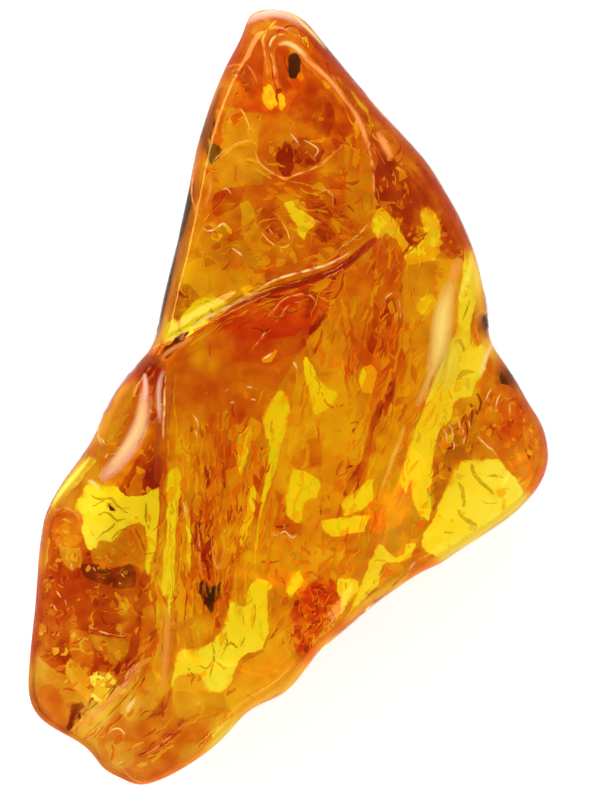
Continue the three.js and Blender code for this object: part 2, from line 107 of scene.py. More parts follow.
# Zones of the stained fractures, in the order of painting. Tint, depth as a share of thickness: outlines.
# a dark sliver along the left silhouette: painted shade
STAINS = listed("""
# upper face
orange 0.45: 240,30 22,-16 38,6 30,40 20,45 16,45 8,45 0,33 -29,34 -45,16 -32,10 -6,-38 -4,-35 4,-33 -6,-32
  6,-30 -4,-50 4,-26
russet 0.5: 228,78 34,-2 38,4 40,4 12,26 -22,8 -40,-6 -28,2 -26,-4 -8,-14; 296,122 54,2 12,26 6,22 4,26
  -32,4 -40,2 -16,2 -22,16 -22,4 -14,-6 2,-42 34,-4 38,2 45,-4 1,-20 -46,-4
rust 0.4: 246,34 16,10 0,46 -10,-6 -12,-10 -14,-2
rust 0.35: 224,77 14,-4 12,9 7,16 -7,1 -7,-11 -9,-8
orange 0.4: 222,92 8,-8 10,-1 2,13 -6,12 -12,-2 -8,-6
orange 0.45: 208,112 8,-4 10,4 -4,16 2,14 -10,18 -8,0 -6,-20
moss 0.3: 206,118 7,-4 3,14 -5,12 11,10 -4,10 -7,6 -5,-16 -7,-8 2,-14
amber 0.35: 222,128 5,-14 10,-5 6,5 5,11 8,9 2,7 -8,5 -7,-3 -11,7 -7,-10
brownish 0.35: 212,170 10,-13 18,-11 16,-1 2,15 4,8 6,4 -6,14 -22,0 -14,8 -12,12 -8,16 -7,14 -4,-10 8,-30
rust 0.45: 276,50 8,-4 6,6 -2,26 4,12 -8,4 -6,-19
dark 0.3: 288,58 6,-5 6,5 0,18 -4,4 -7,-4
rust 0.55: 300,62 12,12 20,20 13,18 7,14 -6,12 -16,-8 -12,-9 -18,5 -12,-10 6,-16 12,-15
deep 0.4: 316,100 12,-2 6,12 1,16 -7,12 -9,-2 -6,-16
red 0.35: 324,108 6,-4 4,11 -4,20 -7,-3
sun 0.4: 263,88 7,-3 5,9 2,12 -7,5 -7,-7; 279,92 5,6 2,8 -5,6 -3,-8
rust 0.4: 292,142 12,-4 14,4 6,8 -6,12 -12,6 -10,-4 -2,-12
red 0.35: 278,148 7,-5 7,3 2,14 -2,15 -8,3 -6,-8 -2,-12
red 0.3: 306,160 8,0 8,-10 3,2 -7,12 -10,2
amber 0.5: 345,140 13,-6 8,22 8,40 0,18 -16,6 -13,-6 1,-34
orange 0.45: 350,150 12,-4 6,22 -6,8 -12,-6
rust 0.45: 304,200 20,-8 12,12 -4,16 -14,3 -10,-11
rust 0.4: 317,226 15,-4 4,14 -10,7 -10,-6; 262,212 10,-4 8,14 3,14 -5,8 -10,-6 -7,-12
sun 0.55: 286,204 6,-2 6,10 5,6 -5,6 -6,-8
clear 0.5: 284,204 6,-2 8,8 6,2 10,7 0,7 -6,6 -4,8 -5,-6 -1,-8 -7,-8
honeyed 0.5: 238,206 10,-4 7,12 3,24 12,22 -6,12 -12,-20 -10,-20
orange 0.5: 205,204 21,-10 16,-4 -2,16 4,34 -12,0 -10,-18 -16,0
rust 0.45: 214,196 18,-8 12,2 -4,14 -14,10 -12,2
sun 0.4: 213,233 9,1 -3,7 -8,-3; 222,224 4,0 6,9 -3,2
honey 0.45: 192,262 14,-6 12,6 10,13 8,12 5,13 -15,0 -23,-3 -11,-7 -10,-10 3,-14
honeyed 0.5: 218,262 22,0 22,14 4,14 -20,10 -8,-12 -10,-13
sun 0.5: 240,290 10,-4 5,6 -7,8
brown 0.4: 180,290 6,-6 14,12 -12,14 -12,12 -5,-16
clear 0.5: 181,318 9,-11 12,-9 13,0 9,5 6,5 -16,12 -14,9 -16,9; 162,338 8,-15 6,-3 4,10 0,8 -14,7
honey 0.5: 314,259 7,-9 11,-3 6,7 -10,9 -10,5
dark 0.15: 192,186 1,14 -6,35 -10,35 -10,38 -7,30 -6,0 6,-38 10,-44 10,-41
# right flank
rust 0.5: 300,12 30,28 36,52 34,38 40,50 22,40 16,42 -16,0 -16,-12 -26,6 -20,-16 -24,-28 -2,-32 -12,-40
  -17,-32 -23,-36 -22,-32
deep 0.45: 376,158 16,-6 12,14 16,12 8,22 -8,38 -8,8 -10,-10 -6,-14 -12,-10 -9,-6
red 0.4: 374,180 16,-4 12,8 10,12 0,26 -8,4 -6,-12 -12,-8 -10,-2
orange 0.35: 380,132 10,0 12,20 -4,11 -10,-7 -6,-12
orange 0.5: 376,232 20,6 10,24 -2,68 -12,42 -14,-12 -4,-60 -2,-38
sun 0.5: 375,213 7,-4 7,7 8,8 6,12 6,10 7,0 7,-6 0,-14 -4,-13 7,-6 9,8 5,17 0,20 -8,11 -12,8 -12,-3 -6,-16
  -7,-12 -9,-6 -9,6 -6,-12
clear 0.5: 374,220 6,-3 4,7 -3,8 -6,-1
honeyed 0.45: 386,248 4,0 3,14 -1,10 -5,-6
amber 0.5: 404,268 36,-6 6,34 -12,34 -24,8 -8,-32
sun 0.45: 420,298 12,-4 4,12 -10,9 -10,-3
deep 0.4: 384,300 8,-2 4,14 -6,6 -7,-6
# scoop below the ledge
orange 0.55: 160,352 20,-10 35,-22 50,-24 40,-13 30,-13 15,-8 -8,23 -10,15 -12,18 -10,17 -9,15 -13,22 -14,26
  -10,22 -18,4 -14,6 -10,12 -16,0 -11,-10 -17,0 -8,-32 -5,-30
russet 0.5: 186,344 26,-20 50,-26 42,-15 36,-15 7,3 -9,25 -12,22 -14,18 -14,14 -14,10 -22,6 -22,-4 -26,-6
orange 0.5: 277,326 19,-4 4,12 -4,16 -14,4 -11,-14
ember 0.5: 222,322 40,-23 42,-16 36,-15 6,4 -12,24 -14,20 -14,12 -14,8 -24,4 -24,-2 -16,-6
orange 0.45: 182,352 24,-14 2,34 -2,48 -16,10 -10,-30
deep 0.45: 302,292 10,-6 8,6 -4,20 -10,6 0,-14
red 0.35: 309,334 5,-10 8,-10 5,2 -7,10 -7,10
sun 0.4: 262,359 6,-3 6,-6 3,2 -7,9 -7,2
# left rolled edge
orange 0.5: 150,356 16,-4 0,128 -6,10 -10,2 -30,-4 -20,-18 10,-60 18,-34
rust 0.5: 154,372 12,-1 2,28 -8,5 -8,-9
honeyed 0.45: 120,402 10,-20 8,0 -4,20 -10,22 -12,16 -8,6 4,-26
deep 0.4: 140,359 12,-2 10,7 -4,12 -6,12 -2,14 -3,-18 -7,-6 -7,3 3,-13
rust 0.4: 148,400 12,10 8,-30 4,40 -2,50 -10,16 -10,-26 -8,-14 6,-16
deep 0.45: 122,482 14,-20 14,-16 12,10 -2,34 -15,5 -15,3 -10,-8
red 0.35: 144,462 8,-4 2,30 -8,6
orange 0.4: 128,484 10,-18 4,2 0,26 -12,3
# left lobe
rust 0.5: 34,650 4,-60 8,-60 14,-18 24,8 8,32 38,10 20,10 10,28 -2,50 -18,18 -20,22 -22,0 -38,-18
honey 0.5: 38,518 10,-3 2,20 -2,25 -6,16 -8,0 2,-31
orange 0.5: 142,610 12,-4 3,34 -8,28 -11,-4 2,-24
orange 0.45: 52,532 4,-16 12,-7 10,3 5,12 -1,16 -12,8 -12,-3
clear 0.5: 84,488 10,-8 14,6 10,0 7,9 15,1 10,-4 9,-5 1,15 -2,28 -5,30 -5,16 -2,-16 1,-28 -7,-9 -10,1 -8,7
  -10,11 -12,-2 -5,10 -7,-1 -6,-13 1,-20 -6,-10 1,-8; 92,455 5,7 -12,14 -13,15 -12,12 -9,11 6,-16 12,-18
  12,-15
amber 0.5: 56,510 8,-12 16,-12 4,6 -8,8 -2,8 -12,4
dark 0.3: 109,503 4,3 2,4 -4,0
amber 0.5: 124,536 8,-9 13,0 3,14 -1,19 -4,12 -8,-11 -5,-12; 92,549 18,-3 12,0 6,9 6,8 -19,4 -20,-4
umber 0.4: 80,563 15,1 20,5 15,-6 6,8 0,15 -16,3 -20,-6 -16,-7
amber 0.45: 58,545 12,3 10,0 2,14 -10,8 -10,-10
rust 0.45: 46,600 14,-20 24,0 8,40 -12,20 -14,-14 -16,2; 92,598 20,-6 8,12 -4,20 -16,2 -8,-12
amber 0.45: 118,604 8,-8 4,10 -6,10 -6,-2; 90,634 18,3 16,1 6,6 -4,12 -8,10 -14,-10 -9,-10
orange 0.5: 70,630 18,2 6,18 -4,30 -14,-12 -6,-18
honeyed 0.5: 66,656 10,6 16,20 -2,20 -14,-12 -10,-18
deep 0.4: 56,642 6,-2 8,16 -4,8 -8,-8
rust 0.4: 96,662 22,6 6,4 -8,8 -16,-4
red 0.35: 114,664 6,-4 1,10 -5,8 -6,-4
sun 0.5: 90,676 10,-5 12,3 5,10 11,6 2,8 -10,6 -10,-4 -10,5 -8,-8 2,-9
amber 0.5: 31,668 9,-6 16,10 14,14 16,16 -13,10 -5,21 -18,-9 -13,-18 -7,-16
orange 0.45: 34,690 16,-6 14,16 2,28 -16,-6 -12,-16
umber 0.35: 72,705 10,-2 5,7 -7,7 -6,4 -5,13 -4,-5 5,-14
# pinched groove and bottom lobe
honeyed 0.45: 70,736 15,-17 15,-13 15,-8 11,-8 10,-18 10,-17 5,-5 2,9 -9,14 -8,18 -14,13 -17,17 -13,12 -13,6
honey 0.5: 125,700 9,-6 7,8 -5,14 -10,5 -6,-9
orange 0.5: 96,738 14,-16 10,-8 12,8 18,-6 22,-16 6,16 22,-4 10,8 -4,20 -10,18 -18,12 -22,8 -20,4 -18,-8
  -14,-14
amber 0.45: 104,744 14,-4 16,2 0,20 -12,6 -12,-8
orange 0.45: 134,764 26,-14 24,-16 16,-8 6,10 -8,18 -18,14 -22,9 -20,1
amber 0.5: 160,598 12,2 0,90 -8,14 -10,-4 4,-40
rust 0.4: 172,688 -1,18 -11,11 -13,2 8,-11 10,-12
deep 0.3: 138,754 20,-11 16,-14 12,-14 4,4 -12,14 -18,14 -18,10
amber 0.45: 180,752 12,-10 8,2 -4,12 -14,8
# flutes
orange 0.5: 166,352 24,78 16,10 34,-20 22,4 -4,46 -10,50 -8,40 -12,40 -14,40 -18,8 -20,2 -2,-50 4,-80 2,-50
  -10,-30
honey 0.45: 176,446 14,2 2,52 -2,60 4,50 -6,40 -10,-2 -2,-48 4,-60
clear 0.5: 171,470 7,-4 3,14 -3,30 -3,30 -1,30 -1,30 -5,25 -7,15 -1,-20 3,-40 2,-30 2,-30 1,-30
honey 0.5: 157,600 12,-4 -1,54 -7,30 -8,-10 4,-30
sun 0.4: 185,500 3,8 3,32 -1,32 -3,-12 -1,-30
honey 0.45: 238,422 14,-4 10,8 -2,32 -12,42 -10,20 -4,-40 -2,-40
sun 0.45: 241,430 9,-4 1,16 -4,20 -6,15 -3,-11 0,-20
orange 0.4: 196,520 8,-15 10,-5 10,20 2,36 -6,18 -16,0 -6,-18
rust 0.35: 201,525 9,-13 3,23 -1,30 -7,9 -5,-12
dark 0.3: 200,577 7,5 7,5 8,-5 -4,16 -7,15 -7,-11 -4,-12
red 0.3: 205,468 3,-2 3,20 -3,2; 194,524 3,-2 1,22 -3,0
honeyed 0.5: 228,470 8,0 -2,50 -8,20 -2,-40
amber 0.5: 184,620 16,-6 16,4 -4,16 -14,12 -12,3 -6,-9
clear 0.5: 262,418 8,-14 10,-13 7,7 3,12 -3,17 -5,19 -4,19 -6,16 -6,19 -4,20 -4,26 -4,16 2,-22 4,-30 6,-30
  3,-24 -1,-18
sun 0.5: 250,490 4,-6 1,21 -6,21 -6,20 -3,-5 5,-26
clear 0.5: 228,611 4,-10 13,5 5,-21 8,-6 13,3 -1,29 -2,20 -7,18 -13,4 -10,8 -6,20 -10,12 -17,-2 -25,0 -8,-5
  3,-21 5,-15 15,1 10,-5 10,-8 7,-10
honey 0.5: 177,677 23,-4 4,17 -8,9 -15,-2 -8,-9
amber 0.5: 174,692 26,1 22,3 4,15 -16,5 -20,3 -13,-3
clear 0.5: 204,749 8,-14 8,-10 10,-7 8,-5 -3,10 -13,16 -10,12
honey 0.5: 223,693 12,-12 10,-20 17,-8 8,-13 15,-10 5,20 12,14 12,-9 6,-11 -14,29 -16,18 -20,10 -24,12 -13,0
amber 0.45: 268,592 8,-4 10,18 -4,20 -10,14 -4,-22
# middle
honeyed 0.5: 260,520 12,-40 12,-40 8,-40 8,-28 20,4 24,-4 12,28 -4,40 -22,30 -8,30 -6,40 4,40 -20,12 -14,8
  -16,-18 -12,-22; 262,530 26,2 -4,28 4,20 -18,0 -12,-20
honeyed 0.45: 311,336 14,-11 10,10 8,20 -5,16 -16,2 -10,-12 -5,-15
orange 0.5: 330,290 15,-22 27,-4 6,36 2,50 -14,16 -14,-16 -12,-20 -10,-12
amber 0.45: 350,300 12,-2 4,32 -4,14 -12,-14
orange 0.5: 376,330 20,0 6,32 -6,18 -14,-8
clear 0.5: 305,356 7,9 6,13 10,10 9,5 -4,9 -8,9 -9,3 -5,-9 -3,-15 -4,-15
sun 0.5: 362,368 8,-4 7,8 -3,14 -4,7 -8,-2 -3,-13
clear 0.5: 294,469 11,3 14,6 2,8 -6,15 -7,12 -8,8 -10,0 -4,-9 1,-17 3,-15
orange 0.4: 276,490 8,4 2,20 14,10 12,-10 6,-14 4,12 -16,22 -16,0 -18,-6 6,-18
orange 0.5: 302,440 20,-2 4,24 -26,8 -8,-8 2,-18
rust 0.5: 394,378 -5,24 -8,22 -8,23 -8,23 -9,16 -10,13 -2,-3 8,-16 8,-18 6,-18 4,-20 8,-20 8,-16
honeyed 0.5: 400,380 26,-14 4,26 -18,38 -14,32 -20,18 -12,-6 12,-28 10,-26
honey 0.5: 324,440 32,-4 2,22 -8,18 -24,24 -4,-30
clear 0.5: 341,501 13,-9 14,-12 11,0 -6,20 -17,12 -12,4; 319,521 21,-4 30,-2 6,7 -11,9 -35,5
honey 0.5: 322,508 8,-20 16,-6 16,0 -9,11 -12,10 -5,11 -14,5
amber 0.5: 324,540 36,-3 6,13 -11,19 -20,4 -14,-12
honey 0.5: 304,502 16,-2 0,72 -14,8 -4,-40
orange 0.45: 320,562 14,-2 4,20 -10,10 -10,-8
fiery 0.45: 298,597 10,-12 12,-7 13,2 7,15 -2,18 -13,13 -10,15 -10,15 -10,-7 -4,-19 -2,-15
honey 0.45: 334,622 -8,8 -9,11 -10,12 -10,11 5,7 12,-10 12,-11 10,-10
clear 0.5: 286,590 6,-12 6,-7 6,9 -6,9 -6,7; 336,579 19,0 4,11 -11,14 -6,9 -2,-17
ochre 0.5: 372,480 20,-18 10,8 2,22 -14,14 -6,24 -12,16 -12,14 6,-30 8,-26
# right band and lobe
honey 0.5: 436,262 26,0 0,38 -12,50 -20,50 -20,46 -8,24 4,30 18,20 -4,20 -18,16 -18,-8 2,-38 14,-40 8,-40
  22,-50 6,-60
ochre 0.5: 390,500 12,-10 12,10 7,20 5,16 -16,3 -8,-8 -2,18 -12,4 -6,-13 2,-20
clear 0.5: 464,249 8,1 7,15 4,25 -7,20 -4,30 6,6 7,-6 5,-6 3,11 -7,21 -8,15 -8,15 -15,5 -5,19 -12,10 -4,15
  -2,25 0,30 -4,21 -10,-8 -6,-13 -1,-20 -6,12 -6,-12 5,-20 5,-15 5,-15 10,-25 12,-25 12,-30 9,-25 2,-25
  3,-25
honey 0.5: 484,262 6,38 -2,40 -10,4 -4,-22 6,-22
clear 0.5: 344,620 10,-18 10,-27 10,-25 6,-6 6,6 9,6 8,-2 3,-10 10,0 -5,12 -11,5 -12,2 -6,13 -10,15 -10,10
  -10,15
honey 0.5: 382,566 13,-5 8,5 -7,15 -11,15 -13,10 -8,3 11,-18
orange 0.45: 413,549 11,3 13,4 -1,8 -16,8 -12,6 2,-18
ochre 0.45: 409,569 -12,14 -16,14 -17,14 -17,16 -14,16 10,-20 17,-20 16,-13 17,-17
brown 0.45: 374,588 -11,12 -12,12 -9,10 -7,11 9,-4 14,-14 13,-14 10,-11
orange 0.5: 478,420 6,-20 10,-12 16,-4 16,12 15,24 7,25 -2,27 -8,19 -13,11 -9,-22 -11,-15 -10,-10 -10,-13
  -8,-12
russet 0.45: 498,398 14,-6 10,18 2,26 -14,4 -10,-16
orange 0.45: 489,350 11,11 4,17 -4,13 -10,5 -8,5 -3,-16 7,-19
dark 0.3: 500,368 8,2 7,9 -5,7 -10,-3; 477,323 7,-6 4,8 -2,9 -7,-3
amber 0.4: 470,326 6,-26 6,-8 2,16 -8,12 -2,16 -4,8
brown 0.4: 438,430 17,-6 15,-20 8,6 -3,30 -5,19 -15,0 -15,0 -4,-14
brown 0.45: 436,462 15,-2 -3,19 -6,17 -9,17 -2,-23
clear 0.5: 450,480 5,-13 7,-6 13,0 15,-2 10,2 8,9 8,10 8,12 3,11 -13,7 -14,9 -20,12 -15,15 -15,16 -10,-2
  -8,-7 -10,-7 2,-11 10,-17 10,-23
""")

# Thin cracks and edges over them. Tint, width in squares, depth: lines.
LINES = listed("""
# bright edges
clear 1.4 0.5: 254,150 3,8 4,8 9,6 8,6 8,2 14,-6 15,-5 11,-6 8,-11 11,-9
clear 1.2 0.5: 213,166 9,-10 10,-7 11,-6 9,-1 6,6; 262,228 8,14 13,7 9,-6 -3,-13 -9,-12 -8,-4
sun 1.4 0.5: 92,627 13,5 16,4
sun 1.6 0.5: 233,253 7,4 7,5; 477,436 10,10 7,6 6,8; 497,391 -6,13 -7,16; 268,318 10,-13 13,-8 12,1
sun 1.3 0.5: 275,322 9,-9 12,-5
sun 1.5 0.5: 252,350 6,-8 7,-5
sun 1.6 0.5: 275,366 6,10
honeyed 1.5 0.4: 305,284 13,6 -2,14 -4,12
sun 1.4 0.5: 140,756 18,-8 20,-12 12,-12
sun 1.8 0.5: 110,732 10,-4 5,12
honeyed 1.6 0.4: 198,560 1,-30 6,-22 9,-12; 214,545 -1,20 4,7 5,-12 2,-30
sun 1.3 0.4: 283,612 -7,12 -8,16
sun 1.4 0.5: 384,296 6,-4 6,2; 396,300 2,12 1,8
sun 1.5 0.5: 401,412 4,6 7,-1 5,-9
sun 1.2 0.5: 52,540 6,-10 8,-6 4,10 -10,8
olive 2.6 0.5: 92,494 10,6 8,-2 8,8 10,6
olive 2 0.5: 96,540 12,-10 8,-8
olive 2.6 0.5: 148,502 -2,14 4,14
olive 2.2 0.5: 196,664 10,4 8,-6 10,6
olive 2.4 0.5: 222,650 8,-8 8,4 8,-10
honeyed 3 0.5: 236,620 6,12 -4,16
olive 2 0.5: 252,596 4,14 -2,16
olive 4 0.5: 452,346 8,-4 4,10
olive 5 0.5: 456,378 8,-6 8,2
olive 2.4 0.5: 296,484 8,4 6,-4
olive 4 0.5: 427,488 2,8 -1,8
olive 2.4 0.5: 206,306 8,6 -6,8; 190,324 8,-6 8,0
olive 3 0.5: 98,516 6,-4 6,2 8,6 8,-2
olive 2 0.5: 112,540 6,-8 8,-4; 92,508 6,-4 8,-4
olive 2.4 0.5: 242,597 1,9 -1,10 2,10
olive 2 0.5: 212,640 2,14 -2,14 -2,12
olive 1.8 0.5: 226,630 0,14 -4,14
olive 2 0.5: 188,668 6,8 -4,10
olive 1.6 0.5: 170,478 1,22 -1,20 0,20; 173,545 -1,25 0,30 -2,30
olive 2 0.5: 468,300 -2,12 -4,10
olive 2.4 0.5: 446,410 -2,14 -4,12
olive 2 0.5: 434,452 -2,14 -4,10; 480,500 8,4 10,-2
olive 1.8 0.5: 484,476 10,-2 10,4
olive 2 0.5: 200,306 8,-4 8,4; 314,376 6,8 -2,12; 272,420 -2,20 -2,16
# streaks of the left column
sun 3 0.5: 177,452 -1,18 1,20 -1,22
rust 2.4 0.5: 181,450 0,30 -1,30 1,35
sun 3.4 0.5: 186,456 0,24 -1,25 1,25
rust 2 0.5: 190,460 1,30 1,30 -2,30
honey 3 0.5: 196,470 1,20 -1,22
deep 2.4 0.5: 206,466 2,10 1,12
honeyed 3 0.5: 214,452 1,18 2,22 2,20
rust 2.4 0.5: 222,446 2,20 3,24 1,24 -2,26
honey 4 0.5: 234,428 2,18 3,16
deep 2 0.5: 250,470 3,-14 5,-9 5,3 3,12 -1,18 -3,16
honey 4 0.5: 257,456 1,14 -3,20 -5,20
rust 2.6 0.5: 247,480 -4,20 -3,20 -3,25
sun 2.4 0.5: 252,500 -4,20 -4,20 -3,16
rust 2.2 0.5: 230,500 1,20 -2,25 -3,25
honey 3 0.5: 234,520 -1,20 -3,22
deep 2.2 0.5: 196,520 0,16 1,14
orange 3 0.5: 205,520 -1,20 2,20
red 2.6 0.5: 209,522 1,18 2,16 2,14
orange 3 0.5: 216,535 2,13 1,12
rust 2 0.5: 184,560 2,20 1,22 -2,23
honey 2.6 0.5: 190,575 3,20 -1,20
rust 2.4 0.5: 226,566 2,18 -2,18
honeyed 3 0.5: 233,560 3,18 -2,18
# middle
rust 7 0.5: 362,458 -5,12 -6,12 -7,14
deep 3.4 0.5: 360,462 -4,10 -4,8
deep 3 0.5: 345,467 6,-1 6,2
rust 2.4 0.5: 351,425 5,-4 6,4; 322,392 4,10 8,6 8,-4
amber 4 0.5: 300,400 2,20 -2,20
rust 2.2 0.5: 316,424 4,8 -2,12
honey 4 0.5: 308,446 -2,16 -6,10
amber 6 0.5: 346,380 4,20 -2,20
orange 5 0.5: 330,300 4,22 -2,22
honeyed 5 0.5: 342,300 4,24 4,24
rust 3 0.5: 322,330 -4,16 -6,10
deep 3 0.5: 310,331 8,-11 12,-14 10,-16 5,-16
amber 8 0.5: 384,410 -6,24 -6,18
rust 4 0.5: 394,380 -4,20 -6,18
honey 3 0.5: 402,330 -4,22 -6,20
rust 2 0.5: 408,340 -3,16 -5,16
honeyed 4 0.5: 370,390 -2,18 -6,16
red 2.4 0.5: 380,350 1,10 -1,12
orange 5 0.5: 330,548 14,4 14,-2
amber 6 0.5: 326,560 14,6 14,-6
sun 3.4 0.5: 286,536 4,8 2,8
rust 2.4 0.5: 258,560 12,2 12,-2
rust 2 0.5: 270,575 10,3 6,7
# left lobe
orange 4 0.5: 130,528 6,12 6,16
rust 2.4 0.5: 134,526 7,12 5,14
sun 1.8 0.5: 50,575 4,7; 56,590 4,6; 50,604 6,4; 58,584 6,4; 46,540 4,8; 56,528 4,8; 64,542 6,4
sun 1.6 0.5: 74,534 4,6
rust 3 0.5: 70,586 6,14 -2,16
honeyed 5 0.5: 116,592 6,10 -2,12
red 3 0.4: 112,668 6,-2 4,6
honey 6 0.5: 68,662 4,14 8,12 12,8 10,4
red 2.4 0.5: 138,600 4,-10 4,-10
rust 3 0.5: 132,620 8,-14 6,-10
sun 1.6 0.5: 127,600 4,6
# fan below the rolled edge
red 4 0.4: 150,462 1,12 0,14
orange 4 0.4: 143,468 -3,12 -3,12
red 3 0.4: 136,470 -6,12 -4,10
deep 3 0.4: 142,448 6,4 6,-2
deep 2.4 0.4: 144,456 6,3 5,-2
# right lobe and brown patch
red 2.4 0.4: 462,414 4,10 0,12; 470,402 2,12 -2,12
sun 2 0.4: 444,412 3,8 -1,10; 452,406 3,8 -3,8; 460,424 -2,10
umber 3 0.4: 438,436 6,8 8,6
umber 2.6 0.4: 476,392 4,10 -2,10
sun 1.8 0.5: 508,400 2,12 -2,12
sun 1.6 0.5: 516,396 4,8; 500,412 2,10; 522,412 4,6; 528,424 4,8
red 2 0.5: 526,452 4,6 4,-2
rust 2.4 0.5: 496,432 6,8
# fiery spot
sun 1.8 0.4: 312,588 6,6 -2,8
sun 1.6 0.4: 322,584 6,6; 306,604 6,6 6,-4
red 2.4 0.4: 326,600 6,6 -2,8
red 2 0.4: 300,610 6,8
sun 1.6 0.4: 302,636 6,4 -2,6
red 2 0.4: 298,630 4,-6
sun 2.4 0.4: 274,606 6,6 -2,8; 282,596 6,6
sun 2 0.4: 270,622 6,6
red 2 0.4: 270,640 6,-10 8,-12
amber 2 0.5: 95,680 5,8 -2,9
ochre 2.4 0.5: 104,677 5,11 -3,9
amber 2 0.5: 113,684 5,8 4,6
umber 2.4 0.4: 190,418 2,8 -1,8
umber 3 0.4: 206,466 2,8 2,10
umber 2 0.4: 223,480 2,8
# dark edges
red 1.2 0.4: 270,46 2,24 4,20 1,14; 276,40 4,-10 14,-2 14,10 12,14
rust 1.6 0.4: 262,446 7,6 1,14 -8,16 -8,18 -6,20
red 1.2 0.4: 236,486 -4,24 -8,26
red 1.4 0.4: 250,488 -10,22 -4,30
red 1.6 0.4: 222,590 14,-30 10,-30
rust 1.6 0.4: 162,480 -2,40 -4,40 -4,40
red 1.3 0.35: 252,328 10,2 4,8
red 1.2 0.4: 210,346 -1,12
red 1.6 0.35: 345,467 6,-1 6,2
red 2 0.35: 275,527 7,-2 8,0; 349,437 4,-7 8,-3
deep 1.8 0.4: 404,403 6,-4 7,-2
brown 1.6 0.5: 428,390 4,-14 5,-12
brown 1 0.5: 412,440 8,-30 14,-26 12,-30
olive 3.4 0.5: 457,482 5,8 2,12 -2,6
olive 4.4 0.5: 457,510 7,8 8,5 6,4
olive 4.6 0.5: 471,464 3,10 8,10 12,10
olive 2.6 0.5: 443,533 10,0
olive 5 0.5: 495,524 8,-5 9,-10
olive 3.4 0.5: 455,380 9,-6 11,-2
olive 2.4 0.5: 448,390 4,10 -8,6
brown 1.2 0.5: 184,516 -8,14
red 1.6 0.4: 138,640 -4,20 -12,18 -16,22; 146,664 -4,20 -14,20
deep 1.6 0.4: 93,738 11,-12
red 1.2 0.4: 381,345 1,15
red 1.4 0.4: 40,656 12,-1
deep 1.4 0.4: 56,560 6,8
""")

# Lines that the resin flowed along. Reach of the streaks beside them in millimetres, how many: lines.
FLOWS = listed("""
flute 2.2 26: 184,440 2,40 -2,40 -2,40 -2,40 0,40
flute 2.2 30: 218,432 -4,38 -6,50 0,40 2,50
flute 2.4 30: 252,424 -4,36 -8,60 -8,40 -6,50
flute 0.8 10: 172,352 0,48 -2,80 -2,60 -4,60 -4,90
flute 2.2 22: 300,372 -14,48 -14,50 -8,50 -8,40
band 3 44: 444,330 -16,40 -20,50 -16,40 -16,40 -20,60
band 2 18: 396,330 -8,40 -12,40 -16,40 -14,30
band 2.4 16: 384,250 -12,40 -8,40 -8,40
groove 1.6 16: 150,650 -14,22 -16,22 -20,20 -20,24; 214,706 -18,14 -26,18 -20,14 -18,12
fold 1 6: 100,440 16,-20 14,-20 20,-30
ledge 2 10: 318,280 -28,12 -40,18 -30,16 -30,18
rim 1.6 8: 316,50 18,28 16,32 12,40 10,40
face 2.4 10: 246,210 16,-10 28,-4 26,8 20,10
""")

# How lively with cracks and flecks the places are, from 0 to 1: outlines.
LIVELINESS = listed("""
scoop 0.06: 168,352 32,-17 50,-17 40,0 10,27 -14,35 -16,40 -30,4 -40,16 -28,-10
tip 0.08: 262,60 38,-20 45,60 0,30 -45,-6 -20,16 -18,-20
face 0.1: 214,166 44,-16 4,40 -48,16 -14,20 -2,-26; 190,262 38,6 12,30 -40,-2 -20,-12
foot 0.15: 220,690 42,-35 50,0 -22,37 -44,22; 112,770 38,10 46,-24 10,-30 -36,16 -36,16
lobe 0.1: 34,690 18,-6 14,20 0,24 -22,-12
face 1: 262,196 83,0 7,54 -90,35 -62,-25 6,-34 30,-26
flank 1: 374,170 36,20 20,40 -16,32 -40,-22
flutes 1: 180,430 80,-10 -10,180 -70,20
middle 1: 262,540 88,20 -5,80 -45,20 -38,-40
band 1: 436,380 49,0 -5,60 -40,30 -8,50 -8,-40
lobe 1: 480,400 50,-5 16,45 -26,40 -35,-40
lobe 0.8: 40,560 60,-10 60,10 -10,80 -30,50 -50,-20 -30,-30
flank 0.8: 376,262 64,0 -20,78 -30,80 -14,-40
""")
